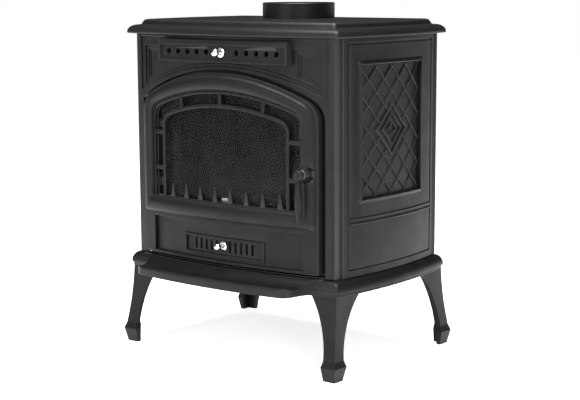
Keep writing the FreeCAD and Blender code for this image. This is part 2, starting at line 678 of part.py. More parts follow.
def door_casting():
    door = bowed(arched(DOOR, DOOR_BOTTOM), DOOR_FACE, DOOR_BACK)
    for outer, inner, level in ((BEAD_OUTER, BEAD_INNER, BEAD_FACE),
                                (BEAD_CROWN_OUTER, BEAD_CROWN_INNER, BEAD_CROWN)):
        inset = 0 if outer is BEAD_OUTER else 5
        bead = arched(outer, BEAD_BOTTOM + inset).cut(arched(inner, FRET_BOTTOM - inset + 2))
        door = door.fuse(bowed(bead, level, DOOR_FACE - 2))
    door = door.cut(bowed(arched(FRET, FRET_BOTTOM), BEAD_CROWN + 1, DOOR_BACK - 1))
    door = door.cut(bowed(rect(*PANEL), DOOR_FACE + 1, PANEL_FACE))
    x0, x1, z0, z1 = VENT
    b = VENT_BORDER
    ring = rect(x0, x1, z0, z1).cut(rect(x0 + b, x1 - b, z0 + b, z1 - b))
    door = door.fuse(bowed(ring, VENT_FACE, PANEL_FACE - 1))
    door = door.cut(box(x0, x1, VENT_POCKET_Y, -150, z0, z1))
    for x in slot_places():
        slot = box(x - SLOT_WIDTH / 2, x + SLOT_WIDTH / 2, -FAR, -150, SLOT_BOTTOM, SLOT_TOP)
        door = door.cut(slot)
    s = STEM_RADIUS + 0.5
    door = door.cut(box(-s, LOWER_TRAVEL + s, -FAR, -150, LOWER_KNOB_Z - s, LOWER_KNOB_Z + s))
    x, z = HANDLE
    door = door.cut(bowed(disc(x, z, BOSS_POCKET), BEAD_CROWN + 1, DOOR_FACE))
    door = door.cut(rod_y(x, z, -FAR, -150, SPINDLE_RADIUS + 2))
    skin = bowed(arched(DOOR, DOOR_BOTTOM), DOOR_FACE, SEAL_BACK + 0.5)
    for boss, bore in (((DOOR_BOTTOM, 222), (DOOR_BOTTOM - 20, 216)), ((490, 530), (494, 560))):
        door = door.fuse(skin.common(rod(*HINGE, *boss, PIN_BOSS_RADIUS)))
        door = door.cut(rod(*HINGE, *bore, PIN_RADIUS + PIN_CLEARANCE))
    save("door_casting", door.removeSplitter())


def slot_places():
    right = [SLOT_FIRST + SLOT_PITCH * i for i in range(5)]
    return [-x for x in right] + right


def door_fret():
    """Arched window surround: two parallel bands joined by short bridges."""
    plate = arched(FRET, FRET_BOTTOM)
    band = arched(FRET_HOLE_OUTER, WINDOW_BOTTOM).cut(arched(FRET_HOLE_INNER, 300))
    half = BRIDGE_WIDTH / 2
    for x in BRIDGE_X:
        bridge = rect(-half, half, 480, 570)
        lean = math.degrees(math.asin(x / FRET_HOLE_INNER[2]))
        bridge.rotate(V(0, -FAR, 480), V(0, 1, 0), lean)
        bridge.translate(V(x, 0, 0))
        band = band.cut(bridge)
    for z in BRIDGE_Z:
        band = band.cut(rect(-200, 200, z - half, z + half))
    plate = plate.cut(band).cut(arched(WINDOW, WINDOW_BOTTOM))
    save("door_fret", bowed(plate, DOOR_FACE, FRET_BACK))


def spike_rail():
    """Low rail across the foot of the window with eight tapered spikes."""
    front, back, top, tip = 7.5, 1.0, WINDOW_BOTTOM + 3, 351.0
    rail = bowed(rect(-156, 156, WINDOW_BOTTOM, top), front - 1, back)
    spikes = []
    pitch, half = 40.2, 6.8
    for i in range(8):
        x = pitch * (i - 3.5)
        spike = []
        for z, w, ridge in ((top - 1, half, front), (tip, 0.9, back + 1.6)):
            corners = [V(x - w, front_y(x - w, back), z), V(x, front_y(x, ridge), z),
                       V(x + w, front_y(x + w, back), z)]
            spike.append(Part.makePolygon(corners + [corners[0]]))
        spikes.append(Part.makeLoft(spike, True, True))
    save("spike_rail", rail.fuse(spikes))


def glazing():
    glass = bowed(arched(GLASS, 320), GLASS_FRONT, DOOR_BACK)
    save("window_glass", glass)
    seal = arched(GLASS, 320).cut(arched(GLASS_SEAL_INNER, 322.5))
    save("glass_seal", bowed(seal, FRET_BACK, GLASS_FRONT))
    clips = []
    screws = []
    behind_clips = rod(0, FRONT_AXIS_Y, 0, BODY_TOP, FRONT_RADIUS + DOOR_BACK - 2)
    for side, z in ((-1, 350), (-1, 470), (1, 350), (1, 470)):
        x0, x1 = sorted((side * 180, side * 203))
        clips.append(bowed(rect(x0, x1, z - 8, z + 8), DOOR_BACK, DOOR_BACK - 2))
        y = front_y(side * 198, DOOR_BACK - 2)
        screws.append(rod_y(side * 198, z, y - 2, y + 3, 3.5).common(behind_clips))
    clips.append(bowed(rect(-8, 8, 306, 332), DOOR_BACK, DOOR_BACK - 2))
    y = front_y(0, DOOR_BACK - 2)
    screws.append(rod_y(0, 311, y - 2, y + 3, 4).common(behind_clips))
    save("glass_clips", *clips)
    save("glass_clip_screws", *screws)


def door_seal():
    rope = arched(SEAL_OUTER, 204).cut(arched(SEAL_INNER, 212))
    rope = bowed(rope, DOOR_BACK, SEAL_BACK)
    for z0, z1 in ((DOOR_BOTTOM, 223), (489, 530)):
        rope = rope.cut(rod(*HINGE, z0, z1, PIN_BOSS_RADIUS + 0.1))
    save("door_seal", rope)


def hinge_pins():
    lower = rod(*HINGE, BASE_BOTTOM + 10, 214, PIN_RADIUS)
    upper = rod(*HINGE, 498, 546, PIN_RADIUS)
    save("hinge_pins", lower, upper)


def handle():
    x, z = HANDLE
    face = front_y(x, DOOR_FACE)
    barrel = rod_y(x, z, face - 18, face + 8, BOSS_RADIUS)
    tip = Part.makeCone(BOSS_RADIUS, BOSS_RADIUS - 2, 2, V(x, face - 18, z), V(0, -1, 0))
    foot = box(x - 6.9, x + 6.9, face - 1, face + 8, z - 6.9, z + 6.9)
    boss = barrel.fuse([tip, foot]).removeSplitter()
    boss = boss.cut(rod(0, FRONT_AXIS_Y, 0, BODY_TOP, FRONT_RADIUS + DOOR_FACE))
    boss = boss.cut(rod_y(x, z, face - 21, face + 9, SPINDLE_RADIUS + 0.05))
    save("handle_boss", boss)
    head_back = face - 21
    spindle = rod_y(x, z, HANDLE_FRONT_Y, NUT_BACK_Y, SPINDLE_RADIUS)
    save("handle_spindle", spindle)
    head = rod_y(x, z, HANDLE_FRONT_Y, head_back, HEAD_RADIUS)
    mid_y = (HANDLE_FRONT_Y + head_back) / 2
    neck_top = z - GRIP_BOTTOM_Z - SPINDLE_RADIUS - 2
    profile = [(0, 0), (3.2, 0), (4.6, 2), (6.2, 20), (7.6, 42), (7.4, 56), (5.5, 74),
               (3.6, neck_top), (0, neck_top)]
    points = [V(x + r, mid_y, GRIP_BOTTOM_Z + h) for r, h in profile]
    axis = V(x, mid_y, z)
    grip = polygon(points).revolve(axis, UP, 360).fuse(head)
    save("handle_grip", grip.cut(rod_y(x, z, -FAR, 0, SPINDLE_RADIUS)))
    bore = rod_y(x, z, CAM[0] - 1, NUT_BACK_Y + 1, SPINDLE_RADIUS)
    cam = box(x - CAM_HALF_WIDTH, x + CAM_HALF_WIDTH, *CAM, z - CAM_REACH, z)
    save("latch_cam", cam.fuse(rod_y(x, z, *CAM, HUB_RADIUS)).cut(bore))
    nut = rod_y(x, z, CAM[1], NUT_BACK_Y, HUB_RADIUS).cut(bore)
    save("latch_nut", nut)


# ---------------------------------------------------------------- air sliders

def knob(x, y, z, stem_end, name):
    """Ball knob on a neck, with its rosette; the screw stem runs back into the slider."""
    r = KNOB_RADIUS
    neck_radius = 3.2
    centre = KNOB_REACH
    neck_end = centre - math.sqrt(r ** 2 - neck_radius ** 2) + 0.2
    origin = V(x, y, z)
    neck = turned([(0, ROSETTE_THICKNESS), (5, ROSETTE_THICKNESS), (neck_radius, 5),
                   (neck_radius, neck_end), (0, neck_end)], origin)
    ball = Part.makeSphere(r, V(x, y - centre, z))
    stem = rod_y(x, z, y - ROSETTE_THICKNESS, stem_end, STEM_RADIUS)
    save(name, neck.fuse([ball, stem]).removeSplitter())
    ring = turned([(STEM_RADIUS, 0), (ROSETTE_RADIUS, 0), (ROSETTE_RADIUS, 0.8),
                   (STEM_RADIUS + 3, ROSETTE_THICKNESS), (STEM_RADIUS, ROSETTE_THICKNESS)],
                  origin)
    save(name + "_rosette", ring)


def upper_slider():
    front = BLOCK_FACE_Y + BLOCK_PLATE + SLIDER_GAP
    back = front + 3
    z0, z1 = BLOCK_BOTTOM + BLOCK_WALL + SLIDER_GAP, BLOCK_TOP - BLOCK_WALL - SLIDER_GAP
    half = 148.5
    plate = box(-half, half, front, back, z0, z1)
    for x in hole_places():
        plate = plate.cut(rod_y(x, HOLE_Z, front, back, HOLE_RADIUS))
    plate = plate.cut(rod_y(0, HOLE_Z, front, back, STEM_RADIUS))
    save("upper_slider", plate)
    knob(0, BLOCK_FACE_Y + CHANNEL_DEPTH - SLIDER_GAP, HOLE_Z, back, "upper_knob")
    rail_front = back + SLIDER_GAP
    rails = [box(-150, 150, rail_front, rail_front + 3, BLOCK_BOTTOM + BLOCK_WALL, 611),
             box(-150, 150, rail_front, rail_front + 3, 635, BLOCK_TOP - BLOCK_WALL)]
    save("upper_slider_rails", *rails)


def lower_slider():
    front = VENT_POCKET_Y + SLIDER_GAP
    back = front + 2.5
    z0, z1 = 219.0, 251.0
    half = 82.0
    plate = box(-half, half, front, back, z0, z1)
    for x in slot_places():
        plate = plate.cut(box(x - SLOT_WIDTH / 2, x + SLOT_WIDTH / 2, front, back,
                              SLOT_BOTTOM, SLOT_TOP))
    plate = plate.cut(rod_y(0, LOWER_KNOB_Z, front, back, STEM_RADIUS))
    save("lower_slider", plate)
    knob(0, front_y(0, PANEL_FACE) - SLIDER_GAP, LOWER_KNOB_Z, back, "lower_knob")
    rails = []
    for edge, lap in ((VENT[2], z0), (VENT[3], z1)):
        low, high = min(edge, lap), max(edge, lap)
        gap = SLIDER_GAP if lap == z0 else -SLIDER_GAP
        side = box(-98, 98, VENT_POCKET_Y, back + SLIDER_GAP, *sorted((edge, lap - gap)))
        grip_low = low if lap == z0 else high - (high - low) - 2
        keep = box(-98, 98, back + SLIDER_GAP, back + SLIDER_GAP + 1.5,
                   grip_low, grip_low + (high - low) + 2)
        rails.append(side.fuse(keep).removeSplitter())
    save("lower_slider_rails", *rails)


def main():
    os.makedirs("parts", exist_ok=True)
    for step in (base_plate, legs, front_frame, air_block, sides, rear, top_plate,
                 flue_collar, tie_rods, firebox, ash_pan, door_casting, door_fret, spike_rail,
                 glazing, door_seal, hinge_pins, handle, upper_slider, lower_slider):
        step()


main()
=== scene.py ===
import json
import math

import bmesh
import bpy
from mathutils import Matrix, Vector


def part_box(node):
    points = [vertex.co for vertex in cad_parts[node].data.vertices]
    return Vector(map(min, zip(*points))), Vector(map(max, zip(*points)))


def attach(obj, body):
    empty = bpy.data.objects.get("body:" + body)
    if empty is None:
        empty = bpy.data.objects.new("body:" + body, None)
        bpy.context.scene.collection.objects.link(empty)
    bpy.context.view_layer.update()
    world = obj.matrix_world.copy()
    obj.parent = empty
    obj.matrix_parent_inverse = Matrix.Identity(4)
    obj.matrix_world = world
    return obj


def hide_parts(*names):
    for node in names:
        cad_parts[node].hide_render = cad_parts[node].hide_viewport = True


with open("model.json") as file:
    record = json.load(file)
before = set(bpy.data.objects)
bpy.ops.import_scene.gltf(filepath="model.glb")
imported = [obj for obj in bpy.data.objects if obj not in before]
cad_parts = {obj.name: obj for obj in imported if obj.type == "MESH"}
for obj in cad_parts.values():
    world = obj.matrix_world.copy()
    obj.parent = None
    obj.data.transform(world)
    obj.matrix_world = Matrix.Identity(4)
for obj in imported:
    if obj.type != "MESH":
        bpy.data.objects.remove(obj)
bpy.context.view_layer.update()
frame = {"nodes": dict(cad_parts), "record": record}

# ---------------------------------------------------------------- sizes, millimetres
MM = 0.001
STOVE = "stove_body"
DOOR = "door"


def node_box(name):
    """Lowest and highest corner of a CAD node, in millimetres."""
    low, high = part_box(name)
    return low / MM, high / MM


front_low, front_high = node_box("front_frame")
block_low, block_high = node_box("air_block")
rear_high = node_box("rear_panel")[1]
top_high = node_box("top_plate")[1]
base_low = node_box("base_plate")[0]

HALF_WIDTH = front_high.x
HALF_DEPTH = 173.0
CENTRE_Y = rear_high.y - HALF_DEPTH
FRONT_BOW = CENTRE_Y - HALF_DEPTH - front_low.y
SIDE_BOW = 18.0
BASE_TOP = front_low.z
BODY_TOP = front_high.z
FRONT_RADIUS = (HALF_WIDTH ** 2 + FRONT_BOW ** 2) / (2 * FRONT_BOW)
FRONT_AXIS_Y = front_low.y + FRONT_RADIUS
SIDE_RADIUS = (HALF_DEPTH ** 2 + SIDE_BOW ** 2) / (2 * SIDE_BOW)
SIDE_AXIS_X = HALF_WIDTH + SIDE_BOW - SIDE_RADIUS

# Arched outlines of the front: half width, apex, arch radius, corner radius, bottom, foot radius
DOORWAY = (237.0, 587.0, 470.0, 48.0, 197.0, 2.0)
FLANGE_HOLE = (213.0, 566.0, 455.0, 34.0, 212.0, 8.0)
DOOR_EDGE = (229.0, 582.0, 460.0, 45.0, 201.0, 3.0)
BEAD_OUTER = (221.0, 577.5, 455.0, 40.0, 287.0, 6.0)
BEAD_INNER = (195.6, 547.0, 496.0, 30.5, 321.6, 3.0)
FRET = (195.4, 546.4, 497.0, 30.0, 316.0, 3.0)
FRET_HOLE_OUTER = (189.0, 540.0, 497.0, 27.0)
FRET_HOLE_INNER = (165.8, 520.5, 470.0, 27.0)
WINDOW = (158.0, 512.5, 465.0, 20.0, 321.2, 1.5)
DOOR_FACE = 8.0
DOOR_BACK = -6.0
BEAD_CROWN = 18.0
HANDLE_X, HANDLE_Z = 205.5, 397.0
NOTCH_RADIUS = 17.0
# Heights between which the doorway's hinge side is kept straight, so that the door can swing past
HINGE_RELIEF = (488, 521)


def bow_front(x, level, z):
    """A point of the bowed front: level is the distance out of the body's front skin."""
    y = FRONT_AXIS_Y - math.sqrt((FRONT_RADIUS + level) ** 2 - x * x)
    return Vector((x, y, z)) * MM


def bow_side(sign):
    """The same for a side, where the first coordinate is the depth from the body's middle."""
    def place(y, level, z):
        x = SIDE_AXIS_X + math.sqrt((SIDE_RADIUS + level) ** 2 - y * y)
        return Vector((sign * x, CENTRE_Y + y, z)) * MM
    return place


def flat_front(y0):
    """A flat face at depth y0, with its level towards the room."""
    return lambda x, level, z: Vector((x, y0 - level, z)) * MM


# ---------------------------------------------------------------- outlines
def arc(cx, cz, radius, start, end, steps):
    turns = [start + (end - start) * i / steps for i in range(steps + 1)]
    return [(cx + radius * math.cos(t), cz + radius * math.sin(t)) for t in turns]


def line(a, b, steps):
    return [(a[0] + (b[0] - a[0]) * i / steps, a[1] + (b[1] - a[1]) * i / steps)
            for i in range(1, steps)]


def arched(half, apex, radius, corner, bottom, foot=2.0):
    """Outline with upright sides, a flat foot and an arched head, always of as many points."""
    arch_z = apex - radius
    cx = half - corner
    cz = arch_z + math.sqrt((radius - corner) ** 2 - cx * cx)
    tilt = math.atan2(cz - arch_z, cx)
    quarter = math.pi / 2
    foot_right = arc(half - foot, bottom + foot, foot, -quarter, 0, 4)
    shoulder_right = arc(cx, cz, corner, 0, tilt, 10)
    arch = arc(0, arch_z, radius, tilt, math.pi - tilt, 44)[1:-1]
    shoulder_left = [(-x, z) for x, z in reversed(shoulder_right)]
    foot_left = [(-x, z) for x, z in reversed(foot_right)]
    points = foot_right + line(foot_right[-1], shoulder_right[0], 22)
    points += shoulder_right + arch + shoulder_left
    points += line(shoulder_left[-1], foot_left[0], 22) + foot_left
    return points + line(foot_left[-1], foot_right[0], 30)


def rect(x0, x1, z0, z1, radius=0.0):
    if radius <= 0:
        return [(x0, z0), (x1, z0), (x1, z1), (x0, z1)]
    q = math.pi / 2
    points = []
    corners = ((x1, z0, -q), (x1, z1, 0), (x0, z1, q), (x0, z0, 2 * q))
    for x, z, start in corners:
        cx = x - radius if x == x1 else x + radius
        cz = z - radius if z == z1 else z + radius
        points += arc(cx, cz, radius, start, start + q, 4)
    return points


def disc(x, z, radius, steps=28):
    return arc(x, z, radius, 0, 2 * math.pi, steps)[:-1]


def arch_band(apex, radius, half, top):
    """Between an arch and a straight top edge."""
    arch_z = apex - radius
    tilt = math.acos(half / radius)
    return arc(0, arch_z, radius, math.pi - tilt, tilt, 44) + [(half, top), (-half, top)]


# ---------------------------------------------------------------- mesh building
class Shape:
    """Vertices and faces gathered from several parts of one piece, in metres."""

    def __init__(self):
        self.mesh = bmesh.new()

    def grid(self, rows, place, closed_row=False, closed_column=False, caps=False):
        """Skin over rows of (x, level, z)."""
        verts = [[self.mesh.verts.new(place(*p)) for p in row] for row in rows]
        count, width = len(verts), len(verts[0])
        for i in range(count if closed_column else count - 1):
            upper = verts[(i + 1) % count]
            for j in range(width if closed_row else width - 1):
                k = (j + 1) % width
                self.mesh.faces.new((verts[i][j], verts[i][k], upper[k], upper[j]))
        if caps:
            self.mesh.faces.new(verts[0])
            self.mesh.faces.new(verts[-1])
        return self

    def plate(self, outlines, front, back, bevel=1.0, place=bow_front, step=12.0, segments=2):
        """A slab cut to outlines, the first the rim and the rest its holes, with rounded edges."""
        curve = bpy.data.curves.new("outline", "CURVE")
        curve.dimensions = "2D"
        curve.fill_mode = "BOTH"
        for points in outlines:
            spline = curve.splines.new("POLY")
            spline.points.add(len(points) - 1)
            for slot, (x, z) in zip(spline.points, points):
                slot.co = (x, z, 0, 1)
            spline.use_cyclic_u = True
        curve.extrude = (front - back) / 2 - bevel
        curve.bevel_depth = bevel
        curve.bevel_resolution = segments - 1
        curve.offset = -bevel
        holder = bpy.data.objects.new("outline", curve)
        made = bpy.data.meshes.new_from_object(holder)
        part = bmesh.new()
        part.from_mesh(made)
        bmesh.ops.remove_doubles(part, verts=part.verts, dist=0.002)
        low = min(v.co.x for v in part.verts)
        high = max(v.co.x for v in part.verts)
        cuts = max(1, int((high - low) / step))
        for i in range(1, cuts):
            x = low + (high - low) * i / cuts
            everything = part.verts[:] + part.edges[:] + part.faces[:]
            bmesh.ops.bisect_plane(part, geom=everything, plane_co=(x, 0, 0),
                                   plane_no=(1, 0, 0), dist=0.01)
        middle = (front + back) / 2
        for v in part.verts:
            v.co = place(v.co.x, middle + v.co.z, v.co.y)
        bmesh.ops.recalc_face_normals(part, faces=part.faces)
        bent = bpy.data.meshes.new("part")
        part.to_mesh(bent)
        part.free()
        self.mesh.from_mesh(bent)
        for data in (bent, made):
            bpy.data.meshes.remove(data)
        bpy.data.objects.remove(holder)
        bpy.data.curves.remove(curve)
        return self

    def turned(self, profile, origin, axis, steps=48):
        """Turn (radius, distance along axis) points about an axis through origin."""
        axis = Vector(axis).normalized()
        side = axis.orthogonal().normalized()
        other = axis.cross(side)

        def place(turn, radius, reach):
            spoke = side * math.cos(turn) + other * math.sin(turn)
            return (Vector(origin) + spoke * radius + axis * reach) * MM

        turns = [2 * math.pi * i / steps for i in range(steps)]
        rows = [[(t, radius, reach) for t in turns] for radius, reach in profile]
        return self.grid(rows, place, closed_row=True, caps=True)

    def piece(self, name, body, material, slot, nodes=(), sharp=32.0, weighted=True):
        """Make the object, with smooth faces that break at sharp edges."""
        bmesh.ops.recalc_face_normals(self.mesh, faces=self.mesh.faces)
        for face in self.mesh.faces:
            face.smooth = True
        for edge in self.mesh.edges:
            if len(edge.link_faces) == 2:
                edge.smooth = edge.calc_face_angle(0.0) < math.radians(sharp)
        data = bpy.data.meshes.new(name)
        self.mesh.to_mesh(data)
        self.mesh.free()
        obj = bpy.data.objects.new(name, data)
        bpy.context.scene.collection.objects.link(obj)
        data.materials.append(material)
        if weighted:
            modifier = obj.modifiers.new("even shading", "WEIGHTED_NORMAL")
            modifier.keep_sharp = True
            modifier.weight = 100
        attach(obj, body)
        if nodes:
            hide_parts(*nodes)
        return obj


def mirrored(points):
    return [(-x, z) for x, z in points]


# ---------------------------------------------------------------- materials
def new_material(name):
    material = bpy.data.materials.new(name)
    material.use_nodes = True
    tree = material.node_tree
    return material, tree, tree.nodes["Principled BSDF"]


def add(tree, kind, **values):
    node = tree.nodes.new(kind)
    for key, value in values.items():
        if hasattr(node, key):
            setattr(node, key, value)
        else:
            node.inputs[key.replace("_", " ")].default_value = value
    return node


def ramp(tree, source, stops):
    node = tree.nodes.new("ShaderNodeValToRGB")
    elements = node.color_ramp.elements
    while len(elements) < len(stops):
        elements.new(0.5)
    for element, (place, colour) in zip(elements, stops):
        element.position = place
        element.color = (*colour, 1) if len(colour) == 3 else (colour[0],) * 3 + (1,)
    tree.links.new(source, node.inputs[0])
    return node.outputs[0]


def cast_iron(name, dark, light, rough=(0.32, 0.46), grain=0.3, specular=0.16, sand_scale=1100.0,
              edge_wear_and_highlight=0.0):
    """Sand-cast iron: fine grain and soft mottling, with paler edges where that lightening is given,
    partly worn paint and partly a painted highlight.
    """
    material, tree, shader = new_material(name)
    link = tree.links.new
    where = add(tree, "ShaderNodeTexCoord").outputs["Object"]
    sand = add(tree, "ShaderNodeTexNoise", Scale=sand_scale, Detail=3.0, Roughness=0.6)
    cloud = add(tree, "ShaderNodeTexNoise", Scale=26.0, Detail=5.0, Roughness=0.55)
    pits = add(tree, "ShaderNodeTexVoronoi", Scale=sand_scale * 0.56)
    for texture in (sand, cloud, pits):
        link(where, texture.inputs["Vector"])
    mottle = add(tree, "ShaderNodeMix", data_type="FLOAT")
    mottle.inputs[0].default_value = 0.35
    link(cloud.outputs[0], mottle.inputs[2])
    link(sand.outputs[0], mottle.inputs[3])
    colour = ramp(tree, mottle.outputs[0], ((0.32, dark), (0.68, light)))
    # Painted highlight, partly also wear: edges found by pointiness are lightened towards six times
    # the light paint colour.
    worn_and_highlit_edge = tree.nodes.new("ShaderNodeMixRGB")
    worn_and_highlit_edge.inputs[2].default_value = tuple(min(1, c * 6.0) for c in light) + (1,)
    edge = ramp(tree, add(tree, "ShaderNodeNewGeometry").outputs["Pointiness"],
                ((0.51, (0.0,)), (0.60, (edge_wear_and_highlight,))))
    link(edge, worn_and_highlit_edge.inputs[0])
    link(colour, worn_and_highlit_edge.inputs[1])
    link(worn_and_highlit_edge.outputs[0], shader.inputs["Base Color"])
    gloss = ramp(tree, mottle.outputs[0], ((0.3, (rough[1],)), (0.7, (rough[0],))))
    link(gloss, shader.inputs["Roughness"])
    shader.inputs["Specular IOR Level"].default_value = specular
    relief = tree.nodes.new("ShaderNodeMixRGB")
    relief.blend_type = "ADD"
    relief.inputs[0].default_value = 0.6
    link(sand.outputs[0], relief.inputs[1])
    link(pits.outputs["Distance"], relief.inputs[2])
    bump = add(tree, "ShaderNodeBump", Strength=grain, Distance=0.0006)
    link(relief.outputs[0], bump.inputs["Height"])
    link(bump.outputs[0], shader.inputs["Normal"])
    return material


def metal(name, dark, light, rough, metallic=1.0, scale=300.0, stretch=(1, 1, 1), bump=0.05):
    """Bright or plated metal with fine scratches and a slightly uneven polish."""
    material, tree, shader = new_material(name)
    link = tree.links.new
    where = add(tree, "ShaderNodeTexCoord").outputs["Object"]
    mapping = tree.nodes.new("ShaderNodeMapping")
    mapping.inputs["Scale"].default_value = stretch
    link(where, mapping.inputs[0])
    noise = add(tree, "ShaderNodeTexNoise", Scale=scale, Detail=4.0)
    link(mapping.outputs[0], noise.inputs["Vector"])
    link(ramp(tree, noise.outputs[0], ((0.3, dark), (0.7, light))), shader.inputs["Base Color"])
    link(ramp(tree, noise.outputs[0], ((0.3, (rough[0],)), (0.7, (rough[1],)))),
         shader.inputs["Roughness"])
    shader.inputs["Metallic"].default_value = metallic
    dent = add(tree, "ShaderNodeBump", Strength=bump, Distance=0.0002)
    link(noise.outputs[0], dent.inputs["Height"])
    link(dent.outputs[0], shader.inputs["Normal"])
    return material


def glass():
    """Dark tinted ceramic glass with a thin uneven haze of soot."""
    material, tree, shader = new_material("stove glass")
    link = tree.links.new
    where = add(tree, "ShaderNodeTexCoord").outputs["Object"]
    haze = add(tree, "ShaderNodeTexNoise", Scale=9.0, Detail=4.0)
    link(where, haze.inputs["Vector"])
    tint = ramp(tree, haze.outputs[0], ((0.3, (0.010, 0.009, 0.008)), (0.7, (0.022, 0.02, 0.019))))
    link(tint, shader.inputs["Base Color"])
    link(ramp(tree, haze.outputs[0], ((0.3, (0.14,)), (0.75, (0.24,)))), shader.inputs["Alpha"])
    link(ramp(tree, haze.outputs[0], ((0.3, (0.03,)), (0.8, (0.08,)))), shader.inputs["Roughness"])
    shader.inputs["IOR"].default_value = 1.52
    shader.inputs["Specular IOR Level"].default_value = 0.25
    return material


def rope():
    """Graphite glass-fibre rope with a braided surface."""
    material, tree, shader = new_material("seal rope")
    link = tree.links.new
    where = add(tree, "ShaderNodeTexCoord").outputs["Object"]
    strands = []
    for turn in (0.7, -0.7):
        mapping = tree.nodes.new("ShaderNodeMapping")
        mapping.inputs["Rotation"].default_value = (0, turn, 0)
        link(where, mapping.inputs[0])
        wave = add(tree, "ShaderNodeTexWave", Scale=180.0, Distortion=1.5)
        link(mapping.outputs[0], wave.inputs["Vector"])
        strands.append(wave)
    weave = tree.nodes.new("ShaderNodeMixRGB")
    weave.blend_type = "MULTIPLY"
    weave.inputs[0].default_value = 1.0
    link(strands[0].outputs[0], weave.inputs[1])
    link(strands[1].outputs[0], weave.inputs[2])
    link(ramp(tree, weave.outputs[0], ((0.0, (0.03, 0.03, 0.032)), (0.8, (0.13, 0.13, 0.135)))),
         shader.inputs["Base Color"])
    shader.inputs["Roughness"].default_value = 0.85
    shader.inputs["Sheen Weight"].default_value = 0.3
    bump = add(tree, "ShaderNodeBump", Strength=0.7, Distance=0.001)
    link(weave.outputs[0], bump.inputs["Height"])
    link(bump.outputs[0], shader.inputs["Normal"])
    return material


PAINT = ((0.0036, 0.0038, 0.0041), (0.0085, 0.0088, 0.0093))
# The main paint's paler edges are partly wear and partly a painted highlight.
iron = cast_iron("stove paint", *PAINT, edge_wear_and_highlight=0.6)
plain_iron = cast_iron("stove paint on plain castings", *PAINT)
inner_iron = cast_iron("inner iron", (0.016, 0.0157, 0.0152), (0.032, 0.0314, 0.0305),
                       rough=(0.6, 0.8), grain=0.015, specular=0.08, sand_scale=400.0)
chrome = metal("polished chrome", (0.78, 0.78, 0.80), (0.9, 0.9, 0.92), (0.05, 0.13))
steel = metal("plated steel", (0.30, 0.30, 0.31), (0.48, 0.48, 0.5), (0.28, 0.45), bump=0.2)
dark_steel = metal("black steel", (0.022, 0.022, 0.023), (0.05, 0.05, 0.052), (0.38, 0.55),
                   metallic=0.5, bump=0.25)
window_material = glass()
rope_material = rope()

MATERIAL_OF = {"stove_paint": iron, "inner_iron": inner_iron, "chrome": chrome, "steel": steel,
               "dark_steel": dark_steel, "glass": window_material, "seal": rope_material}


# ---------------------------------------------------------------- camera, light and floor
CAMERA_AT = (1.8502, -2.27315, 0.7625)
CAMERA_TURN = math.radians(38.61)
CAMERA_DIP = math.radians(8.82)
CAMERA_ROLL = math.radians(-0.26)
CAMERA_LENS = 88.4
SKY_DIM = 0.05
SKY_BRIGHT = 0.6
KEY_POWER = 40
EDGE_POWER = 30
TOP_POWER = 230
FLOOR_REACH = 90.0
FLOOR_GLOW = 0.74


def make_camera():
    data = bpy.data.cameras.new("camera")
    data.lens = CAMERA_LENS
    data.sensor_width = 36
    camera = bpy.data.objects.new("camera", data)
    bpy.context.scene.collection.objects.link(camera)
    turn = Matrix.Rotation(CAMERA_TURN, 4, "Z")
    tip = Matrix.Rotation(math.pi / 2 - CAMERA_DIP, 4, "X")
    roll = Matrix.Rotation(CAMERA_ROLL, 4, "Z")
    camera.matrix_world = Matrix.Translation(CAMERA_AT) @ turn @ tip @ roll
    bpy.context.scene.camera = camera


def area_light(name, azimuth, elevation, distance, size, power, aim=(0, 0, 0.36)):
    data = bpy.data.lights.new(name, "AREA")
    data.shape = "RECTANGLE"
    data.size, data.size_y = size
    data.energy = power
    light = bpy.data.objects.new(name, data)
    bpy.context.scene.collection.objects.link(light)
    a, e = math.radians(azimuth), math.radians(elevation)
    back = Vector((math.sin(a) * math.cos(e), -math.cos(a) * math.cos(e), math.sin(e)))
    light.matrix_world = (Matrix.Translation(Vector(aim) + back * distance)
                          @ back.to_track_quat("Z", "Y").to_matrix().to_4x4())


SKY_TOWARDS = (0.29, -0.82, 0.49)


def make_world():
    """A soft sky, brightest in front of the stove and a little to its right."""
    world = bpy.data.worlds.new("studio")
    bpy.context.scene.world = world
    world.use_nodes = True
    tree = world.node_tree
    where = add(tree, "ShaderNodeTexCoord").outputs["Generated"]
    facing = tree.nodes.new("ShaderNodeVectorMath")
    facing.operation = "DOT_PRODUCT"
    facing.inputs[1].default_value = SKY_TOWARDS
    tree.links.new(where, facing.inputs[0])
    spread = tree.nodes.new("ShaderNodeMapRange")
    spread.interpolation_type = "SMOOTHSTEP"
    spread.inputs["From Min"].default_value = -0.1
    spread.inputs["From Max"].default_value = 1.0
    spread.inputs["To Min"].default_value = SKY_DIM
    spread.inputs["To Max"].default_value = SKY_BRIGHT
    tree.links.new(facing.outputs["Value"], spread.inputs["Value"])
    background = tree.nodes["Background"]
    background.inputs[0].default_value = (1, 1, 1, 1)
    tree.links.new(spread.outputs[0], background.inputs[1])


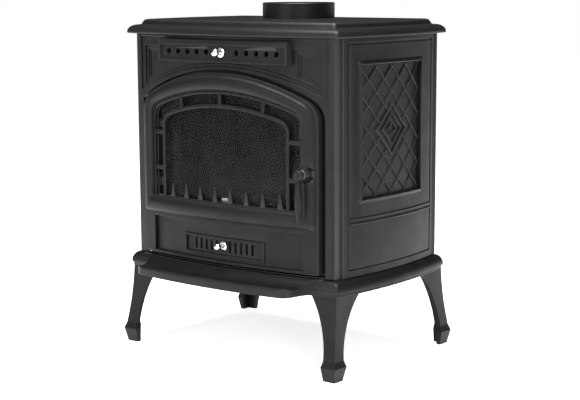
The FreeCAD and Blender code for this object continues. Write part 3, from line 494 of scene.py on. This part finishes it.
def make_studio():
    bpy.context.scene.view_settings.view_transform = "Standard"
    make_world()
    area_light("key", -4, 16, 3.4, (1.3, 1.4), KEY_POWER)
    area_light("edge", 50, 20, 3.4, (0.9, 1.4), EDGE_POWER)
    area_light("top", 20, 84, 2.8, (1.8, 1.8), TOP_POWER)
    floor = bmesh.new()
    corners = [floor.verts.new((x * FLOOR_REACH, y * FLOOR_REACH, 0)) for x, y in
               ((-1, -1), (1, -1), (1, 1), (-1, 1))]
    floor.faces.new(corners)
    data = bpy.data.meshes.new("floor")
    floor.to_mesh(data)
    floor.free()
    obj = bpy.data.objects.new("floor", data)
    bpy.context.scene.collection.objects.link(obj)
    material, tree, shader = new_material("studio floor")
    where = add(tree, "ShaderNodeTexCoord").outputs["Object"]
    noise = add(tree, "ShaderNodeTexNoise", Scale=3.0, Detail=2.0)
    tree.links.new(where, noise.inputs["Vector"])
    tree.links.new(ramp(tree, noise.outputs[0], ((0.3, (0.90,)), (0.7, (0.92,)))),
                   shader.inputs["Base Color"])
    shader.inputs["Roughness"].default_value = 0.9
    shader.inputs["Specular IOR Level"].default_value = 0.1
    shader.inputs["Emission Color"].default_value = (1, 1, 1, 1)
    shader.inputs["Emission Strength"].default_value = FLOOR_GLOW
    data.materials.append(material)


# ---------------------------------------------------------------- front frame and air block
SPANDREL = [(177, 579), (221.5, 562), (221.5, 622), (177, 622)]
SPANDREL_INNER = [(181.5, 581.8), (217, 568.2), (217, 617.5), (181.5, 617.5)]
AIR_WINDOW = rect(-161.8, 161.8, 606.2, 639.8)
# Sunk bands above the arch: apex, arch radius, half width, straight top edge
LOW_BAND = (600, 557, 229.5, 629)
HIGH_BAND = (594, 551, 242, 647.5)
FRAME_INSET = 1.2


def front_frame():
    """Cast front: a stepped arch moulding over the doorway and two panelled corners."""
    z0, z1 = BASE_TOP, BODY_TOP
    half = HALF_WIDTH - FRAME_INSET
    shape = Shape()
    relief_low, relief_high = HINGE_RELIEF
    doorway = [(-DOORWAY[0], z) if x < 0 and relief_low < z < relief_high else (x, z)
               for x, z in arched(*DOORWAY)]
    panels = [SPANDREL, mirrored(SPANDREL)]
    small = [SPANDREL_INNER, mirrored(SPANDREL_INNER)]
    rim = rect(-half + 0.4, half - 0.4, z0 + 0.3, z1 - 0.3)
    # Slabs from the back outwards: outlines, front level, back level, bevel, bevel segments
    slabs = (([rim, arched(*FLANGE_HOLE), AIR_WINDOW], -11.3, -18.4, 1.2, 2),
             ([rim, doorway, AIR_WINDOW], -8.4, -12.5, 0.8, 2),
             ([rim, doorway, AIR_WINDOW] + small, -6.8, -11.0, 0.9, 2),
             ([rim, doorway, AIR_WINDOW] + panels, -5.0, -10.0, 0.9, 2),
             ([rim, doorway, arch_band(*LOW_BAND)], -2.6, -9.5, 1.0, 3),
             ([rect(-half, half, z0, z1), doorway, arch_band(*HIGH_BAND)], 0, -10.5, 1.7, 3))
    for outlines, front, back, bevel, segments in slabs:
        shape.plate(outlines, front, back, bevel, segments=segments)
    shape.piece("front_frame_casting", STOVE, iron, "stove_paint", ["front_frame"])


AIR_CHANNEL = rect(-160, 160, 606, 634, 1)
AIR_KNOB_SLOT = rect(-3.5, 16, 617.5, 624.5, 3.4)
AIR_HOLE_Z, AIR_HOLE_RADIUS = 621, 6.0
AIR_HOLE_FIRST, AIR_HOLE_PITCH = 39.2, 25.1
AIR_WALL = 5
OPENINGS_A_SIDE = 5


def air_block():
    """Flat-faced air box with its slider channel and ten round holes."""
    half, z0, z1 = block_high.x, block_low.z, block_high.z
    place = flat_front(block_low.y)
    edge = rect(-half, half, z0, z1, 1.5)
    cavity = rect(-half + AIR_WALL, half - AIR_WALL, z0 + AIR_WALL, z1 - AIR_WALL)
    holes = [disc(s * (AIR_HOLE_FIRST + AIR_HOLE_PITCH * i), AIR_HOLE_Z, AIR_HOLE_RADIUS)
             for s in (-1, 1) for i in range(OPENINGS_A_SIDE)]
    shape = Shape()
    shape.plate([edge, AIR_CHANNEL], 0, -5.5, 1.2, place)
    shape.plate([rect(-half + 1, half - 1, z0 + 1, z1 - 1)] + holes + [AIR_KNOB_SLOT],
                -2.5, -6.0, 0.6, place)
    shape.plate([edge, cavity], -3.0, -18.5, 1.0, place)
    shape.piece("air_block_casting", STOVE, iron, "stove_paint", ["air_block"])


# ---------------------------------------------------------------- door
def bead_rows(outer, inner, base, crown, steps=14, roundness=2.2):
    rows = []
    for i in range(steps + 1):
        u = i / steps
        level = base + (crown - base) * max(0.0, 1 - abs(2 * u - 1) ** roundness) ** (1 / roundness)
        rows.append([(a[0] + (b[0] - a[0]) * u, level, a[1] + (b[1] - a[1]) * u)
                     for a, b in zip(outer, inner)])
    return rows


def door_bead():
    """The broad round moulding about the window, notched for the handle's boss."""
    outer, inner = arched(*BEAD_OUTER), arched(*BEAD_INNER)
    rows = bead_rows(outer, inner, DOOR_FACE - 0.6, BEAD_CROWN)
    back = DOOR_FACE - 3.0
    rows.append([(x, back, z) for x, z in inner])
    rows.append([(x, back, z) for x, z in outer])
    bead = Shape().grid(rows, bow_front, closed_row=True, closed_column=True)
    obj = bead.piece("door_bead", DOOR, iron, "stove_paint", weighted=False)
    cutter_shape = Shape()
    cutter_shape.plate([disc(HANDLE_X, HANDLE_Z, NOTCH_RADIUS, 40)], 40, DOOR_FACE + 0.4, 0.05,
                       step=60)
    data = bpy.data.meshes.new("notch")
    cutter_shape.mesh.to_mesh(data)
    cutter_shape.mesh.free()
    cutter = bpy.data.objects.new("notch", data)
    bpy.context.scene.collection.objects.link(cutter)
    cut = obj.modifiers.new("notch", "BOOLEAN")
    cut.object = cutter
    cut.operation = "DIFFERENCE"
    cut.solver = "EXACT"
    graph = bpy.context.evaluated_depsgraph_get()
    carved = bpy.data.meshes.new_from_object(obj.evaluated_get(graph))
    obj.modifiers.clear()
    obj.data = carved
    bpy.data.objects.remove(cutter)
    for polygon in carved.polygons:
        polygon.use_smooth = True


LOWER_PANEL = rect(-195, 195, 207, 279, 1.2)
LOWER_PANEL_FLOOR = rect(-198, 198, 203, 283)
VENT = rect(-105, 105, 213, 254, 1.0)
VENT_INNER = rect(-100, 100, 218, 249, 1.0)
VENT_FLOOR = rect(-102, 102, 216, 251)
VENT_KNOB_SLOT = rect(-3.6, 10.8, 232.4, 239.6, 3.4)
VENT_FIRST, VENT_PITCH, VENT_HALF_WIDTH = 17.2, 14.2, 2.8
VENT_LOW, VENT_HIGH = 224, 246


def door_casting():
    """Door plate with its window opening and the recessed lower panel."""
    shape = Shape()
    shape.plate([arched(*DOOR_EDGE), arched(*FRET), LOWER_PANEL], DOOR_FACE, DOOR_BACK, 1.8,
                segments=3)
    shape.plate([LOWER_PANEL_FLOOR, VENT], 1.0, -4.5, 0.8)
    shape.plate([VENT, VENT_INNER], 4.0, -3.5, 1.1, segments=3)
    middles = [s * (VENT_FIRST + VENT_PITCH * i) for s in (-1, 1) for i in range(OPENINGS_A_SIDE)]
    slots = [rect(x - VENT_HALF_WIDTH, x + VENT_HALF_WIDTH, VENT_LOW, VENT_HIGH, 1.5)
             for x in middles]
    shape.plate([VENT_FLOOR] + slots + [VENT_KNOB_SLOT], 0.0, -3.4, 0.6, step=10)
    shape.piece("door_plate", DOOR, iron, "stove_paint", ["door_casting"])
    hinge_knuckles()
    door_bead()


KNUCKLE_HEIGHTS = ((201, 222), (490, 530))
KNUCKLE_RADIUS, KNUCKLE_END_RADIUS, KNUCKLE_EDGE = 5.4, 4.2, 0.8


def hinge_knuckles():
    """Two bosses behind the door's left edge that turn on the hinge pins."""
    pins_low, pins_high = node_box("hinge_pins")
    x = (pins_low.x + pins_high.x) / 2
    y = (pins_low.y + pins_high.y) / 2
    shape = Shape()
    for z0, z1 in KNUCKLE_HEIGHTS:
        profile = [(KNUCKLE_END_RADIUS, 0), (KNUCKLE_RADIUS, KNUCKLE_EDGE),
                   (KNUCKLE_RADIUS, z1 - z0 - KNUCKLE_EDGE), (KNUCKLE_END_RADIUS, z1 - z0)]
        shape.turned(profile, (x, y, z0), (0, 0, 1), 24)
    shape.piece("hinge_knuckles", DOOR, iron, "stove_paint")


def door_fret():
    """Window surround: two slim bands joined by short bridges."""
    shape = Shape()
    shape.plate([arched(*FRET), arched(*WINDOW)] + fret_gaps(), DOOR_FACE - 0.3, 0.2, 2.0, step=8,
                segments=3)
    shape.piece("window_fret", DOOR, iron, "stove_paint", ["door_fret"])


# Bridges of the fret, on its right half: half thickness, distance out on the arch and the slant of
# their ends there, and the heights of the two on the upright
BRIDGE_HALF = 4.5
BRIDGE_X, BRIDGE_SLANT = 105, 3
BRIDGE_LOW_Z, BRIDGE_HIGH_Z = 381, 454


def arch_height(shape, x):
    apex, radius = shape[1:3]
    return apex - radius + math.sqrt(radius ** 2 - x * x)


def fret_gaps():
    """Openings between the bands, cut short beside each bridge."""
    steps = 12
    x0, x1 = BRIDGE_HALF, BRIDGE_X - BRIDGE_HALF
    xs = [x0 + (x1 - x0) * i / steps for i in range(steps + 1)]
    lower = [(x, arch_height(FRET_HOLE_INNER, x)) for x in xs]
    xs[-1] += BRIDGE_SLANT
    upper = [(x, arch_height(FRET_HOLE_OUTER, x)) for x in xs]
    corner_x, corner_z = BRIDGE_X + BRIDGE_HALF, BRIDGE_HIGH_Z + BRIDGE_HALF
    outer = corner_run(FRET_HOLE_OUTER, corner_x + BRIDGE_SLANT, corner_z)
    inner = corner_run(FRET_HOLE_INNER, corner_x, corner_z)
    right = [lower + upper[::-1], inner[::-1] + outer]
    for z0, z1 in ((WINDOW[4] + 0.3, BRIDGE_LOW_Z - BRIDGE_HALF),
                   (BRIDGE_LOW_Z + BRIDGE_HALF, BRIDGE_HIGH_Z - BRIDGE_HALF)):
        right.append(rect(FRET_HOLE_INNER[0], FRET_HOLE_OUTER[0], z0, z1, 3))
    return [gap for points in right for gap in (points, mirrored(points))]


def corner_run(shape, x0, z_end):
    """The arch from x0 round the shoulder and down to z_end, on the right."""
    half, apex, radius, corner = shape
    arch_z = apex - radius
    cx = half - corner
    cz = arch_z + math.sqrt((radius - corner) ** 2 - cx * cx)
    tilt = math.atan2(cz - arch_z, cx)
    start = math.acos(x0 / radius)
    arch = arc(0, arch_z, radius, start, tilt, 8)
    shoulder = arc(cx, cz, corner, tilt, 0, 8)
    return arch + shoulder[1:] + [(half, z_end)]


HANDLE_HEAD_RADIUS = 10.0
# Turned profiles of the handle: radius, distance along the axis
HANDLE_HEAD = [(4.0, 0.0), (5.2, 0.0), (5.8, 1.4), (7.4, 1.6), (9.2, 2.4), (10.0, 4.2),
               (10.0, 9.6), (9.2, 11.6), (7.6, 12.5), (4.0, 12.5)]
HANDLE_GRIP = [(0.01, 0), (2.0, 0.1), (3.1, 0.8), (3.5, 2.0), (3.9, 5), (4.9, 12), (6.1, 22),
               (7.1, 33), (7.6, 44), (7.5, 53), (6.6, 63), (5.4, 72), (4.6, 78)]


def handle_grip():
    """Drop handle: a turned grip hanging from a ringed head."""
    low, high = node_box("handle_grip")
    x, y = (low.x + high.x) / 2, (low.y + high.y) / 2
    z = high.z - HANDLE_HEAD_RADIUS
    length = z - low.z
    shape = Shape()
    shape.turned(HANDLE_HEAD, (x, low.y + 0.5, z), (0, 1, 0))
    neck = [(4.4, length - 6), (4.3, length - 5)]
    shape.turned(HANDLE_GRIP + neck, (x, y, low.z), (0, 0, 1))
    shape.piece("drop_handle", "door_handle", iron, "stove_paint", ["handle_grip"], sharp=50)


SPIKES, SPIKE_PITCH, SPIKE_HALF = 8, 40.2, 6.8
SPIKE_BACK, SPIKE_EDGE = 1.0, 1.9


def spike_rail():
    """Low rail behind the bead's edge, with eight ridged spikes."""
    low, high = node_box("spike_rail")
    foot = low.z + 2
    shape = Shape()
    shape.plate([rect(low.x, high.x, low.z, foot + 1)], 6.3, 1.2, 0.6)
    # Up a spike: height, share of the foot's width
    sections = ((foot, 1.0), (foot + 10, 0.64), (foot + 19, 0.36), (high.z - 0.8, 0.13),
                (high.z, 0.03))
    for i in range(SPIKES):
        x = SPIKE_PITCH * (i - (SPIKES - 1) / 2)
        rows = []
        for z, share in sections:
            foot_half = SPIKE_HALF * share
            edge_half = foot_half * 0.94
            ridge_half = 0.35 * share
            ridge = 2.6 + 4.9 * share
            rows.append([(x - foot_half, SPIKE_BACK, z), (x - edge_half, SPIKE_EDGE, z),
                         (x - ridge_half, ridge, z), (x + ridge_half, ridge, z),
                         (x + edge_half, SPIKE_EDGE, z), (x + foot_half, SPIKE_BACK, z)])
        shape.grid(rows, bow_front, closed_row=True, caps=True)
    shape.piece("spiked_rail", DOOR, iron, "stove_paint", ["spike_rail"], sharp=20)


# ---------------------------------------------------------------- sides
# On the side castings, as depth from the body's middle and height: lattice, groove and panel
LATTICE = (-108.0, 92.0, 342.0, 602.0)
SIDE_GROOVE = (-141, 143, 208, 643)
SIDE_PANEL = (-138, 140, 211, 640)
SIDE_HALF_LENGTH = HALF_DEPTH - 19.2
# Double bead: foot of each half-round, where it starts, its length and its half width
BEAD_FEET = (295.0, 304.0)
BEAD_START, BEAD_LENGTH, BEAD_HALF = -137, 276, 2.5


def side(sign):
    """Bowed side casting: grooved border, raised frame about the lattice, double bead."""
    place = bow_side(sign)
    name = "right" if sign > 0 else "left"
    end = SIDE_HALF_LENGTH
    y0, y1, z0, z1 = LATTICE
    shape = Shape()
    hole = rect(y0, y1, z0, z1)
    back_edge = rect(-end + 0.4, end - 0.4, BASE_TOP + 0.4, BODY_TOP - 0.4)
    shape.plate([back_edge, hole], -2.4, -11, 0.8, place)
    shape.plate([rect(-end, end, BASE_TOP, BODY_TOP), rect(*SIDE_GROOVE)], 0, -6, 1.3, place)
    shape.plate([rect(*SIDE_PANEL), hole], 0, -5, 1.0, place)
    shape.plate([rect(y0 - 2, y1 + 2, z0 - 2, z1 + 2)], -6.5, -10.5, 0.4, place)
    across, along = 8, 40
    for foot in BEAD_FEET:
        rows = []
        for i in range(across + 1):
            turn = math.pi * i / across
            level = 2.8 * math.sin(turn) - 0.2
            z = foot + BEAD_HALF - BEAD_HALF * math.cos(turn)
            rows.append([(BEAD_START + BEAD_LENGTH * j / along, level, z) for j in range(along + 1)])
        shape.grid(rows, place)
    raised_frame(shape, place)
    shape.piece("side_casting_" + name, STOVE, iron, "stove_paint", ["side_" + name])
    lattice(place, name)


def raised_frame(shape, place):
    """Mitred moulding about the lattice: a broad outer slope, a crest and a drop inside."""
    y0, y1, z0, z1 = LATTICE
    section = ((7.5, -0.3), (7.0, 0.3), (1.8, 4.0), (0.6, 4.2), (-0.6, 3.4), (-1.0, 1.5),
               (-1.0, -6.0))
    steps = 20
    rows = []
    for grow, level in section:
        a, b, c, d = y0 - grow, y1 + grow, z0 - grow, z1 + grow
        row = [(a + (b - a) * i / steps, level, c) for i in range(steps)]
        row += [(b, level, c + (d - c) * i / steps) for i in range(steps)]
        row += [(b - (b - a) * i / steps, level, d) for i in range(steps)]
        row += [(a, level, d - (d - c) * i / steps) for i in range(steps)]
        rows.append(row)
    shape.grid(rows, place, closed_row=True)


LATTICE_PITCH_Y, LATTICE_PITCH_Z = 24.3, 24.9
LATTICE_FLOOR = -6.6
STUD_RADIUS = STUD_HEIGHT = 4.6
MOTIF = 2.0      # size of the nested diamond, in pitches


def lattice(place, name):
    """Crossed half-round ribs with a stud on each crossing, round a nested diamond."""
    y0, y1, z0, z1 = LATTICE
    pitch_y, pitch_z = LATTICE_PITCH_Y, LATTICE_PITCH_Z
    cy, cz = (y0 + y1) / 2, (z0 + z1) / 2
    shape = Shape()
    for lean in (-1, 1):
        for i in range(-9, 10, 2):
            rib(shape, place, cy + i * pitch_y, cz, lean * pitch_z / pitch_y)
    for i in range(-4, 5):
        for j in range(-6, 7):
            y, z = cy + i * pitch_y, cz + j * pitch_z
            crossing = (i + j) % 2 != 0
            inside = abs(i) + abs(j) < MOTIF
            if crossing and not inside and y0 + 4 < y < y1 - 4 and z0 + 4 < z < z1 - 4:
                dome(shape, place, y, z, LATTICE_FLOOR, STUD_RADIUS, STUD_HEIGHT)
    for grow in (2.0, 1.25, 0.5):
        diamond(shape, place, cy, cz, grow * pitch_y, grow * pitch_z, LATTICE_FLOOR)
    shape.piece("lattice_" + name + "_ribs", STOVE, iron, "stove_paint", ["lattice_" + name],
                weighted=False)


def rib(shape, place, y_mid, z_mid, slope):
    """One slanting rib across the lattice, left out inside the nested diamond."""
    y0, y1, z0, z1 = LATTICE
    cy, cz = (y0 + y1) / 2, (z0 + z1) / 2
    half_y, half_z = MOTIF * LATTICE_PITCH_Y, MOTIF * LATTICE_PITCH_Z
    ends = [y_mid + (z0 + 1 - z_mid) / slope, y_mid + (z1 - 1 - z_mid) / slope]
    low = max(y0 + 1, min(ends))
    high = min(y1 - 1, max(ends))
    if high - low < 4:
        return
    steps = max(6, int((high - low) / 3))
    run = []
    for i in range(steps + 1):
        y = low + (high - low) * i / steps
        z = z_mid + (y - y_mid) * slope
        if abs(y - cy) / half_y + abs(z - cz) / half_z >= 1.0:
            run.append((y, z))
        else:
            strip(shape, place, run, slope, LATTICE_FLOOR)
            run = []
    strip(shape, place, run, slope, LATTICE_FLOOR)


def strip(shape, place, run, slope, floor, half=2.4, height=3.2):
    """A half-round rib along a run of points."""
    if len(run) < 2:
        return
    length = math.hypot(1, slope)
    across = (-slope / length, 1 / length)
    rows = []
    for i in range(7):
        u = math.cos(math.pi * i / 6)
        level = floor + height * math.sqrt(max(0.0, 1 - u * u)) ** 0.8
        rows.append([(y + across[0] * half * u, level, z + across[1] * half * u) for y, z in run])
    shape.grid(rows, place)


def dome(shape, place, y, z, floor, radius, height):
    rows = []
    for i in range(6):
        turn = math.pi / 2 * i / 5
        r = radius * math.cos(turn) + 0.02
        rows.append([(y + r * math.cos(t), floor + height * math.sin(turn), z + r * math.sin(t))
                     for t in (2 * math.pi * k / 16 for k in range(16))])
    shape.grid(rows, place, closed_row=True, caps=True)


def diamond(shape, place, y, z, half_y, half_z, floor):
    corners = [(y + half_y, z), (y, z + half_z), (y - half_y, z), (y, z - half_z)]
    rows = []
    for grow, level in ((1.06, 0.0), (1.05, 2.6), (0.99, 3.6), (0.93, 2.6), (0.92, 0.0)):
        row = []
        for a, b in zip(corners, corners[1:] + corners[:1]):
            for i in range(6):
                py = a[0] + (b[0] - a[0]) * i / 6
                pz = a[1] + (b[1] - a[1]) * i / 6
                row.append((y + (py - y) * grow, floor + level, z + (pz - z) * grow))
        rows.append(row)
    shape.grid(rows, place, closed_row=True)


# ---------------------------------------------------------------- top and base
def plan(grow, front_steps=44, side_steps=28, corner=5.0):
    """Plan outline of the body grown outwards, with softly rounded corners."""
    w, d = HALF_WIDTH + grow, HALF_DEPTH + grow
    front_r = (w * w + FRONT_BOW ** 2) / (2 * FRONT_BOW)
    side_r = (d * d + SIDE_BOW ** 2) / (2 * SIDE_BOW)
    c = corner

    def front(x):
        return -d - FRONT_BOW + front_r - math.sqrt(front_r ** 2 - x * x)

    def edge(y):
        return w + SIDE_BOW - side_r + math.sqrt(side_r ** 2 - y * y)

    points = [(x, front(x)) for x in (-w + c + (2 * w - 2 * c) * i / front_steps
                                      for i in range(front_steps + 1))]
    a, b = points[-1], (edge(-d + c), -d + c)
    points += round_corner(a, (w + 0.4, -d - 0.4), b)
    points += [(edge(y), y) for y in (-d + c + (2 * d - 2 * c) * i / side_steps
                                      for i in range(side_steps + 1))]
    points += round_corner(points[-1], (w, d), (w - c, d))
    points += [(w - c - (2 * w - 2 * c) * i / front_steps, d) for i in range(front_steps + 1)]
    points += round_corner((-w + c, d), (-w, d), (-edge(d - c), d - c))
    points += [(-edge(y), y) for y in (d - c - (2 * d - 2 * c) * i / side_steps
                                       for i in range(side_steps + 1))]
    points += round_corner(points[-1], (-w - 0.4, -d - 0.4), points[0])
    return points


def round_corner(a, corner, b, steps=6):
    """Inner points of a curved corner from a to b."""
    points = []
    for i in range(1, steps):
        t = i / steps
        points.append(tuple((1 - t) ** 2 * a[k] + 2 * t * (1 - t) * corner[k] + t * t * b[k]
                            for k in (0, 1)))
    return points


def plan_place(x, y, z):
    return Vector((x, CENTRE_Y + y, z)) * MM


def plan_loft(shape, profile):
    """Skin over plan outlines given as (grow, height)."""
    rows = [[(x, y, z) for x, y in plan(grow)] for grow, z in profile]
    return shape.grid(rows, plan_place, closed_row=True)


def quarter(grow0, z0, grow1, z1, steps=9):
    """Convex quarter round from a vertical nose up and in to a flat."""
    return [(grow1 + (grow0 - grow1) * math.cos(math.pi / 2 * i / steps),
             z0 + (z1 - z0) * math.sin(math.pi / 2 * i / steps)) for i in range(steps + 1)]


RIM_OVERHANG = 14        # of the top's and the base's nose, beyond the body
DECK_INSET = -17
UNDERSIDE_INSET = -22
UNDERSIDE_RISE = 9
RIM_HEIGHT = 18
FLUE_HOLE_RADIUS = 75.4


def top_plate():
    """Top casting: rounded rim, flat step and a raised field with a soft edge."""
    low, rim, deck = BODY_TOP, BODY_TOP + RIM_HEIGHT, top_high.z
    shape = Shape()
    profile = [(UNDERSIDE_INSET, low + UNDERSIDE_RISE), (UNDERSIDE_INSET, low), (11.5, low),
               (13.2, low + 0.6), (RIM_OVERHANG, low + 2), (RIM_OVERHANG, low + 4)]
    profile += quarter(RIM_OVERHANG, low + 4, -3, rim)[1:]
    profile += [(-5.5, rim + 0.2), (-7.5, rim + 1.2), (-9.5, rim + 5.5), (-11.5, rim + 9.0),
                (-14, deck - 0.6), (DECK_INSET, deck)]
    plan_loft(shape, profile)
    top_field(shape, deck)
    shape.piece("top_casting", STOVE, iron, "stove_paint", ["top_plate"])


def top_field(shape, deck):
    """Deck between the raised edge and the flue hole, and the lining under it."""
    flue_low, flue_high = node_box("flue_collar")
    cx, cy = (flue_low.x + flue_high.x) / 2, (flue_low.y + flue_high.y) / 2 - CENTRE_Y
    outline = plan(DECK_INSET)
    turns = [math.atan2(y - cy, x - cx) for x, y in outline]
    hole = [(cx + FLUE_HOLE_RADIUS * math.cos(t), cy + FLUE_HOLE_RADIUS * math.sin(t)) for t in turns]
    steps = 12
    rows = []
    for i in range(steps + 1):
        u = i / steps
        rows.append([(a[0] + (b[0] - a[0]) * u, a[1] + (b[1] - a[1]) * u, deck)
                     for a, b in zip(outline, hole)])
    rows.append([(x, y, deck - 9) for x, y in hole])
    rows.append([(x, y, deck - 9.8) for x, y in outline])
    rows.append([(x, y, BODY_TOP + UNDERSIDE_RISE) for x, y in plan(UNDERSIDE_INSET)])
    shape.grid(rows, plan_place, closed_row=True)


SHELF_BOTTOM = 163.0
SHELF_NOSE_TOP = 181.0
SHELF_TROUGH = 177.5
# Blocks where the shelf meets the base: inner and outer distance from the middle, and top
CORNER_INNER, CORNER_OUTER, CORNER_TOP = 212, 268.5, 184.5


def base_casting():
    """Base rim with its skirt, corner blocks and the ash shelf."""
    low, tip, top = base_low.z, base_low.z + 7, BASE_TOP
    shape = Shape()
    profile = [(-60, low + 10), (-60, low), (10.5, low), (11, low + 0.6), (11, tip - 0.8),
               (11.6, tip), (13.4, tip), (RIM_OVERHANG, tip + 0.8), (RIM_OVERHANG, tip + 2.2)]
    profile += quarter(RIM_OVERHANG, tip + 2.2, -1, top - 1.0)[1:]
    profile += [(-4, top), (-70, top), (-70, low + 10)]
    plan_loft(shape, profile)
    for sign in (-1, 1):
        x0, x1 = sorted((sign * CORNER_INNER, sign * CORNER_OUTER))
        block = rect(x0, x1, SHELF_BOTTOM + 0.4, CORNER_TOP, 0.5)
        shape.plate([block], 13.6, -12, 1.1, segments=3)
    shape.plate([rect(-236, 236, top - 9, top - 0.2)], 6, -110, 1.0)
    shape.piece("base_casting", STOVE, iron, "stove_paint", ["base_plate"])
    ash_shelf()


def shelf_half(level):
    """Half width of the ash shelf at a distance out of the front."""
    stops = ((-6, 220), (6, 219), (12, 214), (20, 208), (30, 204), (42, 201.5), (52, 199.5),
             (57, 197), (61, 193), (63.6, 188.5), (64.7, 184), (65, 180))
    for (a, wa), (b, wb) in zip(stops, stops[1:]):
        if level <= b:
            return wa + (wb - wa) * (level - a) / (b - a)
    return stops[-1][1]


def ash_shelf():
    """Bowed shelf with a hollow top, a raised lip and ends that sweep back into the base."""
    shape = Shape()
    top = BASE_TOP - 0.5
    trough, lip = SHELF_TROUGH, SHELF_NOSE_TOP
    section = [(-6, top), (4, top - 0.3), (8, top - 1.6), (12, top - 4.6), (16, top - 8.0),
               (20, top - 10.6), (26, trough + 2.6), (32, trough), (40, trough), (48, trough),
               (52, trough + 0.3), (55, trough + 1.4), (57.5, lip - 0.8), (59.5, lip - 0.1),
               (61, lip), (62.6, lip - 0.4), (63.8, lip - 1.3), (64.6, lip - 2.6), (65, lip - 4.6)]
    across = 60
    rows = []
    for level, z in section:
        half = shelf_half(level)
        rows.append([(half * (2 * j / across - 1), level, z) for j in range(across + 1)])
    shape.grid(rows, bow_front)
    rim = [row[0] for row in rows] + rows[-1][1:-1] + [row[-1] for row in reversed(rows)]
    bottom = SHELF_BOTTOM + 0.3
    shape.grid([rim, [(x, level, bottom) for x, level, z in rim]], bow_front)
    shape.grid([[(x, level, bottom) for x, level, z in row] for row in rows], bow_front)
    bmesh.ops.remove_doubles(shape.mesh, verts=shape.mesh.verts, dist=0.00005)
    obj = shape.piece("ash_shelf", STOVE, iron, "stove_paint", weighted=False)
    soften(obj, 1.8, 3, 50)


# ---------------------------------------------------------------- nodes kept as they are
def soften(obj, width, segments=2, angle=35.0):
    bevel = obj.modifiers.new("soft edges", "BEVEL")
    bevel.width = width * MM
    bevel.segments = segments
    bevel.limit_method = "ANGLE"
    bevel.angle_limit = math.radians(angle)
    bevel.use_clamp_overlap = True
    bevel.harden_normals = False
    even = obj.modifiers.new("even shading", "WEIGHTED_NORMAL")
    even.keep_sharp = True


# Width of the softened edge, in millimetres; the nodes not named here keep their sharp edges
EDGE_WIDTHS = {"leg_front_left": 1.6, "leg_front_right": 1.6, "leg_rear_left": 1.6,
               "leg_rear_right": 1.6, "rear_flue_cover": 1.0, "flue_collar": 0.8,
               "baffle_plate": 1.0, "firebox_floor": 1.2, "grate": 1.0, "liner_left": 1.5,
               "liner_right": 1.5, "liner_back": 1.5, "ash_pan": 0.4, "ash_pan_handle": 1.0,
               "handle_boss": 0.6, "latch_cam": 0.8}


def kept_nodes():
    """Give the CAD nodes that no new piece replaces their material and softer edges."""
    for subpart in frame["record"]["subparts"]:
        node = subpart["node"]
        obj = frame["nodes"][node]
        if obj.hide_render:
            continue
        obj.data.materials.clear()
        material = MATERIAL_OF[subpart["material_slot"]]
        obj.data.materials.append(plain_iron if material == iron else material)
        if node in EDGE_WIDTHS:
            soften(obj, EDGE_WIDTHS[node])


# ---------------------------------------------------------------- fire lining
DIAMOND_X = (-90.0, 0.0, 90.0)
DIAMOND_Z = 385.0
DIAMOND_HALF_WIDTH, DIAMOND_HALF_HEIGHT = 34, 46
DIAMOND_BAND = 0.86      # inner edge of a diamond's band, as a share of its outer edge
BOARD_LOW, BOARD_HIGH = 300, 585


def flat_wall(x0, sign):
    """A flat face at x0 towards the stove's middle, on the side given by sign."""
    return lambda y, level, z: Vector((x0 - sign * level, y, z)) * MM


def liner_relief():
    """Cast pattern of the fire lining: nested diamonds on the back and raised boards."""
    low, high = node_box("liner_back")
    place = flat_front(low.y)
    shape = Shape()
    cz = DIAMOND_Z
    for x in DIAMOND_X:
        for grow in (1.0, 0.66, 0.3):
            half_x, half_z = DIAMOND_HALF_WIDTH * grow, DIAMOND_HALF_HEIGHT * grow
            points = [(x + half_x, cz), (x, cz + half_z), (x - half_x, cz), (x, cz - half_z)]
            inner = [(x + (a - x) * DIAMOND_BAND, cz + (b - cz) * DIAMOND_BAND) for a, b in points]
            shape.plate([points, inner], 3.0, -1.0, 0.8, place)
    shape.plate([rect(low.x + 16, high.x - 16, 306, 314, 1)], 6.0, -1.0, 1.5, place)
    shape.piece("liner_back_relief", STOVE, inner_iron, "inner_iron")
    for sign, name in ((-1, "left"), (1, "right")):
        side_low, side_high = node_box("liner_" + name)
        place = flat_wall(side_high.x if sign < 0 else side_low.x, sign)
        boards = Shape()
        for y0, y1 in ((side_low.y + 6, side_low.y + 150), (side_low.y + 158, side_high.y - 6)):
            boards.plate([rect(y0, y1, BOARD_LOW, BOARD_HIGH, 3)], 2.5, -1.0, 1.2, place, step=40)
        boards.piece("liner_" + name + "_boards", STOVE, inner_iron, "inner_iron")


make_camera()
make_studio()
front_frame()
air_block()
door_casting()
door_fret()
spike_rail()
handle_grip()
for direction in (-1, 1):
    side(direction)
top_plate()
base_casting()
liner_relief()
kept_nodes()
